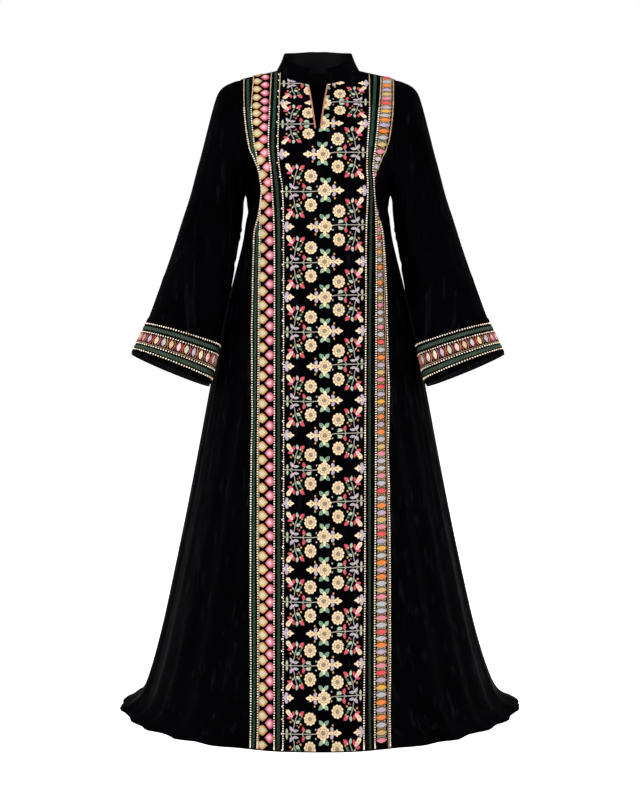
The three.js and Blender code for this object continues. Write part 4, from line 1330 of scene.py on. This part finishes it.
# ---- The cloth pieces ----
HANDS = ("left", "right")
surfaces = {"left": left_sleeve, "right": sleeve_point}
band_start, band_end = 1 - BAND_FROM / SLEEVE, 1 - BAND_TO / SLEEVE
sleeve_alongs = np.concatenate([np.linspace(0, 1, 90) ** 1.25 * band_start, between(18, band_start, 1)[1:]])
front = cloth("front_panel_cloth", body_point, front_sheet(), VELVET, LINING)
back = cloth("back_panel_cloth", body_point, back_sheet(), VELVET, LINING)
sides, sleeves = {}, {}
for hand in HANDS:
    sides[hand] = cloth(f"side_front_{hand}_cloth", body_point, side_front_sheet(hand), VELVET, LINING)
for hand in HANDS:
    sleeves[hand] = cloth(f"sleeve_{hand}_cloth", surfaces[hand], ring_sheet(sleeve_alongs), VELVET, LINING,
                          mirrored=hand == "left")
collar = cloth("collar_cloth", collar_point, collar_sheet(), VELVET, LINING, COLLAR_CLOTH)

# ---- The cuff bands, with heights above the sleeve's edge ----
CUFF_GIRTH_AT = 42
CUFF_MIDDLE, CUFF_PITCH, CUFF_LOZENGE = 45.8, 16.4, (18.6, 9.8)
CUFF_RIBBONS, CUFF_RIBBON_HALF, CUFF_STEPS = (21.4, 67.8), 3.6, 240
# Lines of beads: height, slot, width, pitch, and the share of the pitch that a bead fills.
CUFF_BEADS = (
    (13.5, 0, 3.6, 5.5, 0.6), (29.6, 0, 3.4, 5.5, 0.6), (33.2, 1, 1.4, 3.0, 1.0), (58.2, 0, 3.2, 5.5, 0.6),
    (77.6, 0, 3.6, 5.5, 0.6),
)
CUFF_LOZENGES = "pale pearl rose lilac cream silver honey pale pearl lilac ivory".split()
CUFF_CROSSES = "coral orange rose pink honey coral ochre pink".split()
CUFF_CROSS = ((3.2, -10), (1.4, -4.5), (0.9, 0), (1.4, 4.5), (3.2, 10))


def cuff_chart(hand):
    """A chart with x round a sleeve's end and z up from its edge, and the distance round."""
    surface = surfaces[hand]
    rounds = np.linspace(0, TURN, 721)
    gone = distances(*surface(rounds, np.full(len(rounds), 1 - CUFF_GIRTH_AT / SLEEVE)).T)

    def place(x, z):
        turned = np.interp(x % gone[-1], gone, rounds)
        along = 1 - z / SLEEVE
        return surface(turned, along), normal_of(surface, turned, along) * (-1 if hand == "left" else 1)

    return place, gone[-1]


def cuff_bead_lines(hand, place, girth):
    lines = Raised([BEADS, GOLD])
    for height, slot, wide, pitch, full in CUFF_BEADS:
        count = round(girth / pitch)
        spots = np.stack([np.arange(count) / count * girth, np.full(count, height)], 1)
        bead_row(lines, spots, np.full(count, QUARTER), pitch * full, wide, slot)
    if hand == "left":
        lines.faces = [face[::-1] for face in lines.faces]
    return lines.build(f"cuff_beads_{hand}", place, BAND_LIFT + BAND_CLOTH)


def cuff_ribbon(trim, height, girth, flip):
    """A ribbon round the cuff, whose last row meets its first."""
    z = height + CUFF_RIBBON_HALF * RIBBON_ACROSS
    x = np.linspace(0, girth, CUFF_STEPS)[:, None]
    points = np.stack(np.broadcast_arrays(x, z, RIBBON_CROWN), -1).reshape(-1, 3)
    points[-len(z):, 0] = 0
    faces = [face[::flip] for face in grid_faces(CUFF_STEPS, len(z))]
    uvs = np.stack(np.broadcast_arrays(z, x), -1).reshape(-1, 2)
    trim.add(points, faces, [len(COLOURS)] * len(faces), uvs)


def cuff_trim(hand, place, girth):
    """Lozenges round the cuff's middle with bent threads between them, and two ribbons."""
    trim = Raised([THREADS[name] for name in COLOURS] + [TWILL])
    draw = Chart(trim, lambda z: (1.0, 1.0, 1.0, 1.0))
    flip = -1 if hand == "left" else 1
    count = round(girth / CUFF_PITCH)
    middle = girth / count / 2
    for k in range(count):
        at = (k / count * girth, CUFF_MIDDLE)
        tone = CUFF_LOZENGES[k % len(CUFF_LOZENGES)]
        draw.blob(at, (0, 0), CUFF_LOZENGE, 90, "lozenge", (tone, "pearl", tone), 1.5, flip, 20,
                  (0.3, 0.5, 1.0))
        for side in (1, -1):
            tone = CUFF_CROSSES[(k * 2 + (side > 0)) % len(CUFF_CROSSES)]
            draw.stem(at, [(middle - side * x, y) for x, y in CUFF_CROSS], 1.3, tone, 1.0, flip)
            draw.stem(at, [(middle - side * 6.6, side * y) for y in (7, 10.4)], 1.2, "tan", 0.8, flip)
    for height in CUFF_RIBBONS:
        cuff_ribbon(trim, height, girth, flip)
    return trim.build(f"cuff_trim_{hand}", place, BAND_LIFT + BAND_CLOTH)


cuff_cloth, cuff_beads, cuff_work = {}, {}, {}
for hand, surface in surfaces.items():
    band = ring_sheet(between(10, band_start, band_end))
    cuff_cloth[hand] = cloth(f"cuff_band_{hand}_cloth", surface, band, VELVET, VELVET, BAND_CLOTH, BAND_LIFT,
                             hand == "left")
    cuff_beads[hand] = cuff_bead_lines(hand, *cuff_chart(hand))
    cuff_work[hand] = cuff_trim(hand, *cuff_chart(hand))

# ---- The slit's piping ----
PIPING_STEPS, PIPING_SIDES = 60, 12
PIPING_MIDDLE, PIPING_TALL, PIPING_LIFT, PIPING_UNDER = 0.9, 1.1, 0.1, 0.004


def open_chart(x, z):
    theta, level = front_place(x, z)
    return body_point(theta, level), normal_of(body_point, theta, level)


def piping_cord(hand):
    """A round cord up one edge of the slit, closed at both ends."""
    sign = -1 if hand == "left" else 1
    levels = np.linspace(SLIT_BOTTOM - PIPING_UNDER, slit_top - PIPING_SHORT, PIPING_STEPS)
    edge = body_point(slit_theta(levels), levels)
    path = np.stack([sign * (edge[:, 0] + PIPING_WIDTH / 2), edge[:, 2]], 1)
    from_end = np.minimum(np.arange(PIPING_STEPS), np.arange(PIPING_STEPS)[::-1])
    full = np.minimum(1, (from_end + 0.4) / 2) ** 0.5
    turns = np.arange(PIPING_SIDES) / PIPING_SIDES * TURN
    out = np.outer(full, np.cos(turns) * PIPING_WIDTH / 2)[..., None]
    flat = (path[:, None] + out * beside(path)[:, None]).reshape(-1, 2)
    height = PIPING_MIDDLE + PIPING_TALL * np.outer(full, np.sin(turns)).ravel()
    ends = np.array([[*path[0], PIPING_MIDDLE], [*path[-1], PIPING_MIDDLE]])
    foot = PIPING_STEPS * PIPING_SIDES
    faces = grid_faces(PIPING_STEPS, PIPING_SIDES, closed=True)
    last_row = foot - PIPING_SIDES
    for i in range(PIPING_SIDES):
        after = (i + 1) % PIPING_SIDES
        faces += [[foot, i, after], [foot + 1, last_row + after, last_row + i]]
    gone = distances(*path.T)
    along_cord = np.append(np.repeat(gone, PIPING_SIDES), [0, gone[-1]])
    round_cord = np.append(np.tile(turns, PIPING_STEPS), [0, 0])
    cord = Raised([PIPING])
    points = np.concatenate([np.column_stack([flat, height]), ends])
    cord.add(points, faces, [0] * len(faces), np.stack([along_cord, round_cord], 1))
    return cord.build(f"slit_piping_{hand}_cord", open_chart, PIPING_LIFT)


piping = {hand: piping_cord(hand) for hand in HANDS}

# ---- Who stands for what ----
pieces = {
    "front_panel": (front, "embroidered_velvet"), "back_panel": (back, "velvet"),
    "side_front_left": (sides["left"], "velvet"), "side_front_right": (sides["right"], "velvet"),
    "sleeve_left": (sleeves["left"], "velvet"), "sleeve_right": (sleeves["right"], "velvet"),
    "cuff_band_left": (cuff_cloth["left"], "cuff_trim"),
    "cuff_band_right": (cuff_cloth["right"], "cuff_trim"),
    "collar": (collar, "velvet"), "slit_piping_left": (piping["left"], "piping"),
    "slit_piping_right": (piping["right"], "piping"),
}
for node, (piece, finish) in pieces.items():
    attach(piece, "root")
    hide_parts(node)
# Each free sheet of cloth, as it is cut: width, length and area, and what carries it.
CUTS = {
    "front_panel": (0.36, 1.44, 0.42, [collar, back], [embroidery, ribbon_work, bead_work]),
    "back_panel": (1.28, 1.46, 0.97, [collar], []),
    "side_front_left": (0.51, 1.30, 0.287, [front, back], []),
    "side_front_right": (0.5, 1.30, 0.278, [front, back], []),
    "sleeve_left": (0.59, 0.65, 0.218, [front, back], []),
    "sleeve_right": (0.59, 0.65, 0.218, [front, back], []),
    "cuff_band_left": (0.47, 0.086, 0.0389, [sleeves["left"]], [cuff_beads["left"], cuff_work["left"]]),
    "cuff_band_right": (0.47, 0.086, 0.0389, [sleeves["right"]], [cuff_beads["right"], cuff_work["right"]]),
    "collar": (0.44, 0.046, 0.0163, [front, back], []),
}
for node, (width, length, area, holders, carried) in CUTS.items():
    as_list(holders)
    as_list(carried)
extras = [(obj, "embroidered_velvet") for obj in (embroidery, ribbon_work, bead_work)]
extras += [(obj, "cuff_trim") for group in (cuff_beads, cuff_work) for obj in group.values()]
for piece, finish in extras:
    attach(piece, "root")

# ---- Floor, light and camera ----
FLOOR, PAPER_GLOW, ROOM_LIGHT = -1.3436, 0.85, 0.3
bpy.ops.mesh.primitive_plane_add(size=60, location=(0, 0, FLOOR))
floor = bpy.context.object
floor.name = "floor"
paper = Look("white paper", Roughness=0.9, Specular_IOR_Level=0.1)
paper.colour(paper.mix(paper.noise(3, 2), rgb(0.93, 0.93, 0.93), rgb(0.96, 0.96, 0.96)))
paper.shader.inputs["Emission Color"].default_value = rgb(1, 1, 1)
paper.shader.inputs["Emission Strength"].default_value = PAPER_GLOW
floor.data.materials.append(paper.material)

world = bpy.context.scene.world or bpy.data.worlds.new("studio")
bpy.context.scene.world = world
world.use_nodes = True
tree = world.node_tree
tree.nodes.clear()
ray = tree.nodes.new("ShaderNodeLightPath")
seen, shed, both, out = (tree.nodes.new("ShaderNode" + kind) for kind in (
    "Background", "Background", "MixShader", "OutputWorld"))
seen.inputs["Color"].default_value = rgb(1, 1, 1)
shed.inputs["Color"].default_value = rgb(0.97, 0.98, 1)
shed.inputs["Strength"].default_value = ROOM_LIGHT
tree.links.new(ray.outputs["Is Camera Ray"], both.inputs[0])
tree.links.new(shed.outputs[0], both.inputs[1])
tree.links.new(seen.outputs[0], both.inputs[2])
tree.links.new(both.outputs[0], out.inputs[0])


def lamp(name, place, aim, size, power):
    data = bpy.data.lights.new(name, "AREA")
    data.shape = "RECTANGLE"
    data.size, data.size_y = size
    data.energy = power
    obj = bpy.data.objects.new(name, data)
    bpy.context.scene.collection.objects.link(obj)
    obj.location = place
    way = np.array(aim, float) - np.array(place, float)
    obj.rotation_euler = (math.atan2(math.hypot(way[0], way[1]), -way[2]), 0, math.atan2(-way[0], way[1]))


for name, place, aim, size, power in (
    ("key", (-2.6, -3.2, 1.2), (0, 0, -0.6), (1.6, 2.2), 98),
    ("fill", (2.9, -3.0, 0.6), (0, 0, -0.7), (1.8, 2.4), 68),
    ("top", (0, -0.6, 2.6), (0, 0, -0.5), (2.4, 1.6), 50),
    ("rim left", (-3.0, 1.2, 0.8), (0, 0, -0.7), (1.2, 2.4), 46),
    ("rim right", (3.0, 1.2, 0.8), (0, 0, -0.7), (1.2, 2.4), 46),
):
    lamp(name, place, aim, size, power)

# The camera: its focal length and the shift of its picture are in pixels of the photo.
CAMERA_PLACE, CAMERA_TILT = (0.0043, -4.1, -0.295), 0.047
PHOTO_TALL, FOCAL, SHIFT, SENSOR = 800, 1919.3, 92, 36

scene = bpy.context.scene
scene.view_settings.view_transform = "Standard"
scene.view_settings.look = "None"
camera = bpy.data.objects.new("camera", bpy.data.cameras.new("camera"))
scene.collection.objects.link(camera)
camera.location = CAMERA_PLACE
camera.rotation_euler = (QUARTER - CAMERA_TILT, 0, 0)
camera.data.sensor_width = SENSOR
camera.data.lens = FOCAL * SENSOR / PHOTO_TALL
camera.data.shift_y = -SHIFT / PHOTO_TALL
scene.camera = camera
